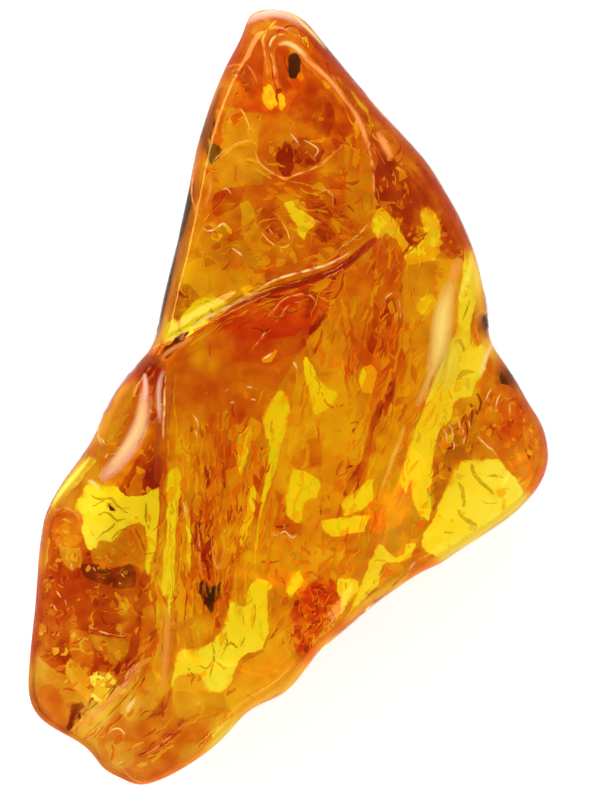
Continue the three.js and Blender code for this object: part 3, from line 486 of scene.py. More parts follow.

# Painted highlights, glints and painted shade on thin matt strips along the crests and folds of the skin.
# Tint, strength, width in squares: lines.
PAINTED_HIGHLIGHT_AND_SHADE_STRIPS = listed("""
# green-brown stretch of the upper left rim
umber 0.85 8: 205,156 3,-13 3,-14 3,-15 4,-14 5,-13
# crest of the ledge
cream 1 4: 155,349 13,-8 14,-7 15,-9 15,-9 18,-9 17,-9 15,-8
cream 0.95 3.4: 256,293 14,-9 12,-5 18,-5 25,-7 15,-7 10,-6
shade 0.6 2: 200,320 14,-8 14,-7 14,-8 16,-8 12,-7
peach 0.9 7: 163,362 3,-7 8,-6 10,-6 10,-6
umber 0.8 4: 326,262 10,-9 12,-9 10,-5 10,-6
gold 0.8 2.4: 334,255 10,-8 10,-7 8,-8 6,-7
# rolled edge
umber 0.8 13: 138,370 8,-8 10,-1 12,7
umber 0.6 5: 161,412 -1,16 -1,18 -1,18 -1,18
rosy 1 7: 146,373 1,15 -1,14
rosy 0.9 19: 147,386 -1,18 -3,16 -5,14 -8,14 -10,13 -10,11 -8,8
cream 1 12: 145,390 -1,16 -2,14 -5,13 -8,13 -8,11 -9,9
umber 0.8 4: 152,372 -1,20 -1,20 -4,18 -7,14
rosy 0.7 7: 165,370 -4,12 -1,16 1,14 0,12
cream 0.95 3.4: 167,376 -1,16 0,16 -1,16 0,16
umber 0.85 4: 172,364 2,16 -1,16 -2,16 -1,18
umber 0.6 3: 156,372 -1,20 0,20 1,18
cream 0.8 4: 113,390 -7,16 -4,14 -2,14 4,12
lemon 1 7: 93,456 -11,13 -12,14 -10,13 -7,11
cream 0.9 5: 89,480 6,2 6,7
# pointed end
rosy 1 12: 247,26 5,-7 7,-4 8,-2 9,-1 9,1 9,4 8,5
rosy 0.8 14: 250,23 8,-5 8,-3 9,-1 10,2 10,5 9,8
cream 0.9 6: 284,14 10,4 8,7 8,8 8,9 8,10
gold 0.8 4: 264,50 -1,-8 3,-7 6,-8 5,-5
umber 0.8 3: 268,58 0,-12 4,-9 8,-5 11,1 11,8 12,11
cream 0.95 3.4: 272,60 -2,-10 2,-8 6,-5 8,-1
cream 0.95 7: 278,47 8,-2 8,3 7,6 6,6
peach 0.95 3.4: 273,56 1,12 2,12 3,12
umber 0.8 3: 276,54 2,12 2,12 2,12
peach 0.8 3: 264,42 1,12 2,12 1,12
umber 0.7 3: 262,74 6,12 4,14 3,10
peach 1 6: 300,55 8,8 12,10 12,12 10,14 8,11
peach 1 7: 346,103 8,12 6,12 5,13 4,12
peach 0.95 4: 366,146 4,14 2,14 1,16 1,16
umber 0.55 4: 306,54 12,10 12,12 12,14 12,16 8,14 6,14 5,16
peach 0.95 3: 254,146 2,10 4,9 10,8 8,5 8,2 12,-4 12,-4 12,-7 12,-10 13,-10
peach 1 10: 376,133 5,9 5,9 5,11
peach 0.9 3.4: 212,166 5,-6 6,-6 11,-7 10,-4 10,1
gold 0.7 3: 225,122 7,-11 10,1 6,12 4,12
peach 0.7 3: 218,76 8,-6 10,-4 10,0 8,10 4,10
umber 0.7 5: 230,76 10,-2 8,8 6,14
# left edge
shade 1 8: 194,184 -3,14 -4,16 -4,16 -3,12
shade 0.85 6: 180,238 -4,18 -4,18 -4,18 -4,18 -4,20
peach 0.9 2.6: 203,160 -6,8 -3,12 -1,16 3,14 6,10
peach 0.7 2.4: 208,166 3,10 0,14 -4,16 -4,16
cream 0.9 2.6: 201,228 7,4 7,-1 9,-6 6,6; 232,249 7,5 8,6
cream 0.7 2: 221,194 6,-4 5,6
# upper face
gold 0.8 2.2: 256,225 6,9 8,9 10,6 9,-3 -1,-12 -7,-12 -8,-8
peach 0.7 2: 266,224 6,10 8,6
peach 0.8 2: 318,196 8,-4 6,6 1,10
peach 0.7 2: 306,226 8,-4 8,4
cream 0.8 2: 303,142 8,4 7,6 -4,8
cream 0.7 2.4: 290,135 6,7 4,6
# scoop
peach 0.9 2.4: 272,317 6,-11 8,-7 10,-3 10,-1 8,5 2,8
peach 0.7 2.2: 280,320 5,-10 9,-6 9,-1
cream 0.8 2.2: 256,346 5,-6 5,-8
cream 0.8 3: 262,360 6,-3 6,-5
cream 0.7 2: 224,394 5,-5; 231,403 7,-2
cream 0.8 2.4: 247,387 7,1 4,2; 251,399 6,1
cream 0.8 3: 293,362 4,6 2,9
# pale sparks
cream 0.9 2: 484,402 3,-8 4,-6; 494,408 2,-8 3,-6
cream 0.8 1.8: 506,398 2,8 0,8; 515,408 3,5
cream 0.9 2: 442,428 3,6 1,8; 450,436 3,8 -1,6; 461,428 2,8 -1,8
cream 0.8 1.8: 436,440 3,6; 467,420 2,8; 56,562 3,8; 62,575 2,9
cream 0.9 1.8: 58,590 4,7
cream 0.8 1.8: 66,598 2,8; 54,604 4,6; 72,562 2,8
cream 0.8 1.6: 94,566 3,4; 108,566 4,2; 122,572 4,4
peach 0.9 2: 62,520 8,-2 6,6; 60,530 8,0 6,8; 56,540 6,4 4,8
cream 0.9 2: 101,424 3,6; 103,438 4,6; 110,452 -3,6
cream 0.8 2: 193,414 5,6 1,8
cream 0.8 1.8: 197,429 1,7
# right edge and band
shade 0.95 8: 481,316 4,6 2,8
peach 0.6 14: 458,258 -4,14 -4,14
butter 1 24: 450,282 -4,16 -4,16 -2,16 -2,16 -4,16 -5,16
butter 0.4 9: 432,366 -5,14 -6,14 -6,14
lemon 0.8 9: 470,252 -1,12 -2,12 -5,14 -4,14
lemon 0.6 5: 446,352 -8,20 -8,18 -6,16
yolk 1 20: 453,338 -2,12 -2,12 -3,14 -3,14
gold 0.6 6: 404,424 -8,22 -8,22 -8,22
cream 0.8 7: 492,342 -5,10 -5,12 -4,12
cream 0.7 2.5: 473,320 6,-8 8,3 4,9 -3,10
cream 0.8 2.2: 383,305 2,-6 5,-4 7,-1
cream 0.7 2: 397,300 2,10 0,10
cream 0.9 2.6: 475,435 5,5 6,6 6,4 4,7
cream 0.7 2.2: 447,424 4,6 -1,8; 455,418 4,8 -3,8
# diagonal ridges of the lower right
umber 0.6 3.4: 386,561 -8,13 -8,12 -10,14
umber 0.5 3.4: 410,566 -9,10 -10,10 -11,11 -12,11
cream 0.9 3: 415,560 -9,11
# groove of the bottom left
peach 0.7 9: 72,735 14,-13 14,-13 14,-13 12,-13 11,-14 9,-14
umber 0.8 2.6: 66,731 14,-13 14,-13 14,-13 12,-13 11,-14 9,-15; 80,741 14,-13 14,-13 13,-13 11,-13 11,-15
  9,-16
cream 0.9 4: 119,690 5,-6 5,-4
cream 0.8 6: 127,712 4,-8 5,-6
peach 0.9 3: 140,756 10,-5 10,-7 10,-8 10,-9 10,-9
umber 0.8 3.4: 138,751 10,-5 10,-7 10,-8 10,-9 8,-8
umber 0.7 3: 166,688 -2,12 -6,10 -10,7 -8,3
umber 0.6 3: 170,676 0,18 -6,14 -10,10
cream 0.85 2.4: 109,733 4,-4 7,-1 5,5 -1,6
peach 0.9 4: 124,769 6,7 10,5 12,0
cream 0.8 2.2: 90,625 8,4 9,3 10,2 10,1
peach 0.8 3: 54,513 6,-4 7,-2 8,4 6,7 3,10
cream 0.9 2.4: 270,531 7,3 8,-4 7,6 7,-5
cream 0.7 2.4: 184,500 2,8 0,8
peach 0.8 2: 212,530 1,15 2,13 4,9 4,-11 2,-16; 204,515 -3,15 -1,15 1,15 1,12
peach 0.5 10: 168,600 0,30 -2,30 -2,30
""")
# Tints of the painted strips: the pale ones paint highlights and glints, shade and umber paint shade.
PAINTED_STRIP_TINTS = {
    "cream": (1.0, 0.66, 0.24),
    "rosy": (1.0, 0.56, 0.38),
    "peach": (1.0, 0.33, 0.08),
    "gold": (1.0, 0.6, 0.07),
    "lemon": (1.0, 0.84, 0.08),
    "butter": (1.0, 0.7, 0.17),
    "yolk": (1.0, 0.69, 0.035),
    "shade": (0.045, 0.03, 0.012),
    "umber": (0.3, 0.06, 0.01),
}
PAINTED_STRIP_PROFILE = ((-1, 0), (-0.5, 0.6), (0, 1), (0.5, 0.6), (1, 0))  # place across, and strength there
PAINTED_STRIP_GAP = 0.06  # millimetres over the skin
BROAD_PAINTED_STRIP = 5  # painted strips at least this wide, in squares, have no gaps
BROKEN_GLINTS = 2.2  # how strongly the thin painted strips are broken up into painted glints

# What the amber's own colour leaves of the tints of the stains under its rind.
RIND_TINT = (0.92, 0.62, 0.05)
BRIGHTEST_RIND = (1.0, 0.68, 0.05)
RIND_DEPTH = 2.6  # how far down the rim the rind reaches, in millimetres
RIND_FADE = 1.4  # the lower part of that over which it fades out
RIND_GAP = 0.03  # millimetres over the skin
LEAST_STEEP, STEEPNESS_FADE = 0.17, 0.25  # where the rind begins as the skin turns down, and becomes full
PAINTED_LIGHT_SIDE = (0.55, -0.83)  # painted light: the way that the rind faces where it is painted palest, as if lit from that side

BLEND = 0.45  # how far the tints run into one another at their borders, on average
BLEND_OF_FLECKS = 0.35  # the share of that for the cracks and flecks within a zone
MOST_FOLDED = 0.45  # no sheet lies so deep that the skin's curve folds its image over: 1 would just do it
MOST_TILTED = (0.1, 0.1, 0.04)  # rise of a zone along x and y, and how much deeper or higher it may lie
WASH_DEPTH = 0.62  # as a share of the stone's thickness
WASH_REACH = 1.15  # how much deeper than the stains the wash may lie where the skin curves
CLEARANCE = 0.15  # millimetres between the sheets and the skin
LOOSE_GRID, LOOSE = 0.6, 0.2  # pitch of a sheet's points that lie on no outline, and how far they stray
MERGED = 0.004  # millimetres between points that are taken for one
THINNEST = 0.4  # least thickness that a depth is a share of, in millimetres
LEAST_DEPTH, MOST_LEAN = 0.2, 0.8  # of a sheet below the skin, and of a zone's tilt, in millimetres
ZONES = len(STAINS) + 1  # with the whole stone

SEED = 7  # of all that is placed by chance
FLECKS = 2600
USUAL_LIVELINESS = 0.4  # outside the outlines above
USUAL_TINT = 0.6  # liveliness of zones of other tints than these
LIVELY_TINTS = {"clear": 0.4, "dark": 0.0, "fiery": 1.0, "deep": 1.0}
TWO_STEPS = 0.35  # share of flecks and streaks whose tint is two steps from that of their zone
FLAKES = 0.6  # share of flakes among the flecks, the others being cracks
PALE_FLECKS, PALE_STREAKS = 0.55, 0.6
EDGED_FLECKS, EDGED_STREAKS = 0.5, 0.3  # shares of those with a second tint along one edge
STREAK_EDGE = (0.07, -0.04)  # how far it shows beside a streak, in millimetres
MISSING_STREAKS = 0.6  # share of streaks that places free of the wash lack
FLAKE_SIZES = (0.12, 0.16, 0.22, 0.32)  # millimetres
CRACK_WIDTHS = (1.2, 1.6, 2.2, 3.0)  # squares
STREAK_WIDTHS = (1.4, 2.0, 2.8, 3.6)


def curved(points, closed, steps, roundness=1.0):
    """A curve through the points, with straight sides where the roundness is 0."""
    count = len(points)
    out = []
    for i in range(count if closed else count - 1):
        if closed:
            before, start, end, after = (points[(i + k) % count] for k in (-1, 0, 1, 2))
        else:
            before, start, end, after = (points[min(max(i + k, 0), count - 1)] for k in (-1, 0, 1, 2))
        for step in range(steps):
            t = step / steps
            leave, arrive = roundness * (end - before) / 2, roundness * (after - start) / 2
            rise = t * t * (3 - 2 * t)
            out.append(start + (end - start) * rise + leave * t * (1 - t) ** 2 - arrive * t * t * (1 - t))
    if not closed:
        out.append(points[-1])
    return np.array(out)


def sideways(line):
    """The way across the line at each of its points."""
    along = np.gradient(line, axis=0)
    along /= np.linalg.norm(along, axis=1)[:, None]
    return np.stack([-along[:, 1], along[:, 0]], axis=1)


def strip(points, width):
    """The outline of a line that is this many squares wide and pointed at both ends."""
    line = curved(points, False, 4)
    share = np.linspace(0, 1, len(line))[:, None]
    half = 0.5 * width * SQUARE * (0.25 + 0.75 * np.sin(math.pi * share) ** 0.5)
    across = sideways(line) * half
    return np.concatenate([line + across, (line - across)[::-1]])


def anticlockwise(points):
    x, y = points[:, 0], points[:, 1]
    area = np.sum(x * np.roll(y, -1) - np.roll(x, -1) * y)
    return points if area > 0 else points[::-1]


def inside(outline, x, y):
    """Which of the points lie inside the outline."""
    result = np.zeros(x.shape, dtype=bool)
    left, front = outline.min(axis=0)
    right, back = outline.max(axis=0)
    near = (x > left) & (x < right) & (y > front) & (y < back)
    px, py = x[near], y[near]
    crossed = np.zeros(px.shape, dtype=bool)
    for (ax, ay), (bx, by) in zip(outline, np.roll(outline, -1, axis=0)):
        if ay != by:
            spans = (ay > py) != (by > py)
            crossed ^= spans & (px < (bx - ax) * (py - ay) / (by - ay) + ax)
    result[near] = crossed
    return result


def patches(places, fineness):
    """Smooth chance values for these places, about -1 to 1."""
    return np.array([noise.noise(Vector(place) * fineness) for place in places])


def placed(name, data):
    """A new object of the scene."""
    thing = bpy.data.objects.new(name, data)
    bpy.context.scene.collection.objects.link(thing)
    return thing


def new_material(name, **settings):
    """A material, its nodes, its links, and its shader with these numbers and colours on its sockets."""
    material = bpy.data.materials.new(name)
    material.use_nodes = True
    nodes, links = material.node_tree.nodes, material.node_tree.links
    shader = nodes["Principled BSDF"]
    for socket, value in settings.items():
        shader.inputs[socket.replace("_", " ")].default_value = value
    return material, nodes, links, shader


def coloured_piece(name, places, faces, attribute, domain, colours, material):
    """A smooth piece of the places that its faces use, in millimetres, coloured at each place or corner."""
    used, numbers = np.unique(faces, return_inverse=True)
    mesh = bpy.data.meshes.new(name)
    mesh.from_pydata((places[used] * MM).tolist(), [], numbers.reshape(np.shape(faces)).tolist())
    layer = mesh.color_attributes.new(attribute, "FLOAT_COLOR", domain)
    if domain == "POINT":
        colours = colours[used]
    layer.data.foreach_set("color", colours.astype(np.float32).ravel())
    for polygon in mesh.polygons:
        polygon.use_smooth = True
    mesh.materials.append(material)
    return placed(name, mesh)


# The picture takes in 64 mm from top to bottom at the level of the stone's rim.
SHOWN_HEIGHT = 64 * MM
RIM_LEVEL = 8 * MM
CAMERA_HEIGHT = 700 * MM
AIM = Vector((0.92 * MM, -0.2 * MM, RIM_LEVEL))
LAMP_DISTANCE = 0.5  # metres


def make_camera():
    data = bpy.data.cameras.new("camera")
    data.sensor_width = 36
    data.lens = data.sensor_width * CAMERA_HEIGHT / SHOWN_HEIGHT
    data.clip_start = 0.01
    camera = placed("camera", data)
    camera.location = AIM + Vector((0, 0, CAMERA_HEIGHT))
    bpy.context.scene.camera = camera


def softbox(name, azimuth, elevation, size, radiance):
    """A soft light seen from the stone at these angles, in degrees from +X and above the floor."""
    turn, lift = math.radians(azimuth), math.radians(elevation)
    way = Vector((math.cos(turn) * math.cos(lift), math.sin(turn) * math.cos(lift), math.sin(lift)))
    data = bpy.data.lights.new("softbox_" + name, "AREA")
    data.shape = "RECTANGLE"
    data.size, data.size_y = size
    data.energy = radiance * math.pi * size[0] * size[1]
    lamp = placed("softbox_" + name, data)
    lamp.location = CENTRE + way * LAMP_DISTANCE
    lamp.rotation_euler = (CENTRE - lamp.location).to_track_quat("-Z", "Y").to_euler()


def make_world():
    """Light from all round, brighter from the horizon and below it than from overhead."""
    world = bpy.data.worlds.new("studio")
    bpy.context.scene.world = world
    world.use_nodes = True
    nodes, links = world.node_tree.nodes, world.node_tree.links
    coordinates = nodes.new("ShaderNodeTexCoord")
    split = nodes.new("ShaderNodeSeparateXYZ")
    ramp = nodes.new("ShaderNodeValToRGB")
    for element, position, grey in zip(ramp.color_ramp.elements, (0.0, 0.75), (0.7, 0.35)):
        element.position = position
        element.color = (grey, grey, grey, 1)
    links.new(coordinates.outputs["Generated"], split.inputs[0])
    links.new(split.outputs["Z"], ramp.inputs[0])
    links.new(ramp.outputs[0], nodes["Background"].inputs["Color"])


def make_floor():
    material, *_ = new_material(
        "pale_floor",
        Base_Color=(0.9, 0.9, 0.9, 1),
        Roughness=0.6,
        Emission_Color=(1, 1, 1, 1),
        Emission_Strength=0.65,
    )
    mesh = bpy.data.meshes.new("floor")
    bm = bmesh.new()
    bmesh.ops.create_circle(bm, cap_ends=True, segments=96, radius=3.0)
    bm.to_mesh(mesh)
    bm.free()
    mesh.materials.append(material)
    floor = placed("floor", mesh)
    floor.location.z = -0.1 * MM


def amber_material():
    """Clear glossy resin that absorbs blue light and a little green."""
    material, nodes, links, _ = new_material(
        "amber",
        Base_Color=(1, 1, 1, 1),
        Roughness=0.0,
        Transmission_Weight=1.0,
        IOR=IOR,
        Specular_Tint=(1.0, 0.55, 0.15, 1),
    )
    volume = nodes.new("ShaderNodeVolumeAbsorption")
    volume.inputs["Color"].default_value = (0.9955, 0.957, 0.0, 1)
    volume.inputs["Density"].default_value = 400
    links.new(volume.outputs[0], nodes["Material Output"].inputs["Volume"])
    return material


def stain_material():
    """A clear film in the tint of its mesh, made deeper or paler by a fine grain and by small cells."""
    material, nodes, links, shader = new_material("stain")
    nodes.remove(shader)

    def scaled(value, factor, offset):
        """The value times the factor, plus the offset. Each is a number or the output of a node."""
        node = nodes.new("ShaderNodeMath")
        node.operation = "MULTIPLY_ADD"
        for socket, source in zip(node.inputs, (value, factor, offset)):
            if isinstance(source, float):
                socket.default_value = source
            else:
                links.new(source, socket)
        return node.outputs[0]

    attribute = nodes.new("ShaderNodeAttribute")
    attribute.attribute_name = "stain"
    coordinates = nodes.new("ShaderNodeTexCoord")
    grain = nodes.new("ShaderNodeTexNoise")
    grain.inputs["Scale"].default_value = 900
    grain.inputs["Detail"].default_value = 3
    links.new(coordinates.outputs["Object"], grain.inputs["Vector"])
    stretch = nodes.new("ShaderNodeMapping")
    stretch.inputs["Scale"].default_value = (1.0, 0.6, 1.0)
    links.new(coordinates.outputs["Object"], stretch.inputs["Vector"])
    cells = nodes.new("ShaderNodeTexVoronoi")
    cells.inputs["Scale"].default_value = 330
    links.new(stretch.outputs[0], cells.inputs["Vector"])
    split = nodes.new("ShaderNodeSeparateColor")
    links.new(cells.outputs["Color"], split.inputs[0])
    graininess = scaled(scaled(grain.outputs[0], 4.0, -2.0), attribute.outputs["Alpha"], 1.0)
    deepened = nodes.new("ShaderNodeGamma")
    links.new(attribute.outputs["Color"], deepened.inputs["Color"])
    links.new(scaled(split.outputs[0], 0.12, graininess), deepened.inputs["Gamma"])
    film = nodes.new("ShaderNodeBsdfTransparent")
    links.new(deepened.outputs[0], film.inputs["Color"])
    links.new(film.outputs[0], nodes["Material Output"].inputs["Surface"])
    return material


def glowing_matt_material(name, painted_glow):
    """A matt skin in the tint of its mesh, which also glows a little in that tint: painted light, as it is
    no lamp.
    """
    material, nodes, links, shader = new_material(
        name, Emission_Strength=painted_glow, Roughness=0.5, Specular_IOR_Level=0.05
    )
    attribute = nodes.new("ShaderNodeAttribute")
    attribute.attribute_name = "matt_colour"
    for output, socket in (("Color", "Base Color"), ("Color", "Emission Color"), ("Alpha", "Alpha")):
        links.new(attribute.outputs[output], shader.inputs[socket])
    return material


def fine_mesh(piece):
    """The piece's mesh with its modifiers applied."""
    piece.data.update()
    bpy.context.view_layer.update()
    return bpy.data.meshes.new_from_object(piece.evaluated_get(bpy.context.evaluated_depsgraph_get()))


def polished(source):
    """The CAD solid's mesh as a smooth fine one that still reaches the corners round the rim."""
    bm = bmesh.new()
    bm.from_mesh(source.data)
    bmesh.ops.remove_doubles(bm, verts=bm.verts, dist=0.01 * MM)
    bmesh.ops.join_triangles(
        bm, faces=bm.faces, angle_face_threshold=math.radians(60), angle_shape_threshold=math.radians(80)
    )
    mesh = bpy.data.meshes.new("amber")
    bm.to_mesh(mesh)
    bm.free()
    piece = placed("amber", mesh)
    smooth = piece.modifiers.new("fine", "SUBSURF")
    smooth.uv_smooth = "NONE"
    wanted = np.array([vertex.co for vertex in mesh.vertices])
    steepness = [1 - abs(vertex.normal.z) for vertex in mesh.vertices]
    smooth.levels = 1
    for _ in range(2):
        reached = fine_mesh(piece)
        missed = wanted - np.array([vertex.co for vertex in reached.vertices[: len(wanted)]])
        bpy.data.meshes.remove(reached)
        for vertex, gap, steep in zip(mesh.vertices, missed, steepness):
            vertex.co += Vector(gap) * steep
    smooth.levels = 2
    piece.data = fine_mesh(piece)
    piece.modifiers.clear()
    for polygon in piece.data.polygons:
        polygon.use_smooth = True
    piece.data.materials.clear()
    piece.data.materials.append(amber_material())
    return piece


PITCH = 0.2  # millimetres from one known height to the next
DOWN, UP = Vector((0, 0, -1)), Vector((0, 0, 1))
ABOVE, BELOW = 60, -20  # levels clear of the stone, in millimetres


def blurred(field, cells):
    """The field smoothed, and carried on a little way past the rim."""
    reach = int(cells * 3)
    kernel = np.exp(-((np.arange(-reach, reach + 1) / cells) ** 2) / 2)

    def spread(values):
        for axis in (0, 1):
            values = np.apply_along_axis(lambda line: np.convolve(line, kernel, "same"), axis, values)
        return values

    known = ~np.isnan(field)
    return spread(np.where(known, field, 0)) / np.maximum(spread(known.astype(float)), 1e-6)


class Heights:
    """The heights of the stone's top and underside over squares of the floor, in millimetres."""

    def __init__(self, piece):
        mesh = piece.data
        places = [vertex.co / MM for vertex in mesh.vertices]
        self.tree = BVHTree.FromPolygons(places, [tuple(polygon.vertices) for polygon in mesh.polygons])
        self.left, self.front = low.x / MM - 2, low.y / MM - 2
        columns = int((high.x / MM + 2 - self.left) / PITCH) + 1
        rows = int((high.y / MM + 2 - self.front) / PITCH) + 1
        top, under = np.full((rows, columns), np.nan), np.full((rows, columns), np.nan)
        for row in range(rows):
            for column in range(columns):
                x, y = self.left + column * PITCH, self.front + row * PITCH
                hit = self.from_above(x, y)[0]
                if hit:
                    top[row, column] = hit.z
                    under[row, column] = self.tree.ray_cast(Vector((x, y, BELOW)), UP)[0].z
        self.close_top, self.close_under = blurred(top, 0.8), blurred(under, 0.8)
        self.soft_top, self.soft_under = blurred(top, 1), blurred(under, 4)
        rise_y, rise_x = np.gradient(self.soft_top, PITCH)
        turns = [part for rise in (rise_x, rise_y) for part in np.gradient(rise, PITCH)]
        self.curl = blurred(np.sqrt(sum(turn**2 for turn in turns)), 3)
        # How far a ray from straight above is bent aside for each millimetre that it goes down.
        slope = np.hypot(rise_x, rise_y) + 1e-6
        outside = np.arctan(slope)
        bend = np.tan(outside - np.arcsin(np.sin(outside) / IOR)) / slope
        self.shift_x, self.shift_y = rise_x * bend, rise_y * bend

    def from_above(self, x, y):
        """Where a ray from straight above meets the stone, and the way that the skin faces there."""
        return self.tree.ray_cast(Vector((x, y, ABOVE)), DOWN)[:2]

    def at(self, field, x, y):
        """The values of a field at these places."""
        column = np.clip((x - self.left) / PITCH, 0, field.shape[1] - 1.001)
        row = np.clip((y - self.front) / PITCH, 0, field.shape[0] - 1.001)
        i, j = column.astype(int), row.astype(int)
        s, t = column - i, row - j
        lower = field[j, i] * (1 - s) + field[j, i + 1] * s
        upper = field[j + 1, i] * (1 - s) + field[j + 1, i + 1] * s
        return lower * (1 - t) + upper * t

    def edge(self, margin, steps=220):
        """The outline seen from above, drawn in by the margin."""
        points = []
        for step in range(steps):
            angle = 2 * math.pi * step / steps
            way = np.array([math.cos(angle), math.sin(angle)])
            near, far = 2.0, 45.0  # well within the stone, and well clear of it
            while far - near > 0.02:
                middle = (near + far) / 2
                if self.from_above(*(MIDDLE + way * middle))[0]:
                    near = middle
                else:
                    far = middle
            points.append(MIDDLE + way * (near - margin))
        return np.array(points)


class Zones:
    """Which drawn zone lies over each square of the floor."""

    def __init__(self, heights, stains):
        rows, columns = heights.soft_top.shape
        self.xs = heights.left + np.arange(columns) * PITCH
        self.ys = heights.front + np.arange(rows) * PITCH
        x, y = np.meshgrid(self.xs, self.ys)
        self.tints, self.depths, outlines = zip(*stains)
        self.kinds = np.full(x.shape, -1)
        for index, outline in enumerate(outlines):
            self.kinds[inside(outline, x, y)] = index
        self.liveliness = np.full(x.shape, USUAL_LIVELINESS)
        for _, share, outline in LIVELINESS:
            self.liveliness[inside(curved(outline, True, 4), x, y)] = share
        logs = np.log([TINTS[tint][0] for tint in self.tints])
        self.colours = [blurred(np.where(self.kinds < 0, np.nan, part[self.kinds]), 2) for part in logs.T]


def flow(x, y):
    """The way the resin flowed near a point in degrees, and how strongly it shows."""
    best, way, strength = 1e9, 0, 0
    for _, reach, _, line in FLOWS:
        for start, end in zip(line, line[1:]):
            along = end - start
            share = min(1, max(0, np.dot((x, y) - start, along) / np.dot(along, along)))
            gap = np.hypot(*((x, y) - start - share * along)) / (2 * reach)
            if gap < best:
                best, way, strength = gap, math.degrees(math.atan2(along[1], along[0])), max(0, 1 - gap)
    return way, strength


def neighbour(chance, tint, lighter):
    """The tint for a fleck that is lighter or darker than its zone, now and then two steps away."""
    side = 2 if lighter else 3
    found = TINTS[tint][side]
    return TINTS[found][side] if chance.random() < TWO_STEPS else found


def streaks(chance, zones):
    """Long thin streaks that run with the flow of the resin, some with a second tint along one edge."""
    result = []
    for _, reach, count, line in FLOWS:
        line = curved(line, False, 12)
        across = sideways(line)
        for _ in range(int(count)):
            first = chance.randrange(len(line) - 6)
            last = min(len(line), first + chance.randint(5, 14))
            off = chance.gauss(0, 0.4) * reach
            sway, turn = chance.uniform(0.05, 0.2), chance.uniform(0, 6)
            points = np.array(
                [line[i] + across[i] * (off + sway * math.sin(0.5 * i + turn)) for i in range(first, last)]
            )
            from_corner = points[len(points) // 2] - (zones.xs[0], zones.ys[0])
            i, j = (from_corner / PITCH).round().astype(int)
            if not (0 <= i < len(zones.xs) and 0 <= j < len(zones.ys)) or zones.kinds[j, i] < 0:
                continue
            kind = zones.kinds[j, i]
            tint, depth = zones.tints[kind], zones.depths[kind]
            if tint == "dark" or tint in BARE and chance.random() < MISSING_STREAKS:
                continue
            pale = chance.random() < PALE_STREAKS
            streak, edge = neighbour(chance, tint, pale), neighbour(chance, tint, not pale)
            shape = strip(points, chance.choice(STREAK_WIDTHS))
            if chance.random() < EDGED_STREAKS:
                result.append((edge, depth, shape + STREAK_EDGE))
            result.append((streak, depth, shape))
    return result


def flake(chance, place, way, stretch):
    """A small flake with a jagged outline, longest along the way given."""
    size = chance.choice(FLAKE_SIZES) * chance.uniform(0.8, 1.25)
    ahead, aside = np.array([math.cos(way), math.sin(way)]), np.array([-math.sin(way), math.cos(way)])
    corners = []
    count = chance.randint(5, 8)
    for corner in range(count):
        angle = 2 * math.pi * (corner + chance.uniform(-0.3, 0.3)) / count
        reach = size * chance.uniform(0.55, 1.3)
        corners.append(place + reach * stretch * math.cos(angle) * ahead + reach * math.sin(angle) * aside)
    return np.array(corners)


def crack(chance, place, way, strength):
    """A short thin crack that bends, longer and straighter where the flow is strong."""
    length = chance.uniform(0.4, 1.1) * (1 + 1.2 * strength)
    bend = chance.uniform(-0.9, 0.9) * (1 - 0.6 * strength)
    points = []
    for _ in range(4):
        points.append(place)
        place = place + length / 3 * np.array([math.cos(way), math.sin(way)])
        way += bend * chance.uniform(0.3, 1.2)
    return strip(np.array(points), chance.choice(CRACK_WIDTHS))


def flecks(chance, zones):
    """Many small flakes and cracks, in a lighter or darker tint than the zone that each lies in."""
    result = []
    while len(result) < FLECKS:
        i, j = chance.randrange(len(zones.xs)), chance.randrange(len(zones.ys))
        kind = zones.kinds[j, i]
        if kind < 0:
            continue
        tint = zones.tints[kind]
        if chance.random() > LIVELY_TINTS.get(tint, USUAL_TINT) * zones.liveliness[j, i]:
            continue
        pale = chance.random() < PALE_FLECKS
        fleck, edge = neighbour(chance, tint, pale), neighbour(chance, tint, not pale)
        edge_shift = np.array([chance.uniform(0.03, 0.09), chance.uniform(-0.09, -0.03)])
        place = np.array([zones.xs[i], zones.ys[j]])
        way, strength = flow(*place)
        way = chance.gauss(way, 12) if chance.random() < strength * 1.5 else chance.uniform(0, 360)
        way = math.radians(way)
        depth = zones.depths[kind] + chance.uniform(-0.06, 0.06)
        if chance.random() < FLAKES:
            shape = flake(chance, place, way, 1.2 + 1.6 * strength)
        else:
            shape = crack(chance, place, way, strength)
        if chance.random() < EDGED_FLECKS:
            result.append((edge, depth, shape + edge_shift))
        result.append((fleck, depth, shape))
    return result


def wavering(outline):
    """The outline with the small unevenness of a real fracture."""
    result = []
    for x, y in outline:
        wobble = noise.noise_vector(Vector((x, y, 0)) * 1.1) * 0.14
        wobble += noise.noise_vector(Vector((x, y, 5)) * 3.7) * 0.1
        result.append((x + wobble.x, y + wobble.y))
    return np.array(result)


def painted(chance, heights):
    """All stains, each with a tint, a depth and an outline and over those before it, and their zones."""
    stains = [(*WHOLE_STONE, heights.edge(CLEARANCE))]
    stains += [(tint, depth, curved(points, True, 6, 0.5)) for tint, depth, points in STAINS]
    zones = Zones(heights, stains)
    stains += [(tint, depth, strip(points, width)) for tint, width, depth, points in LINES]
    stains += streaks(chance, zones) + flecks(chance, zones)
    return [(tint, depth, wavering(outline)) for tint, depth, outline in stains], zones


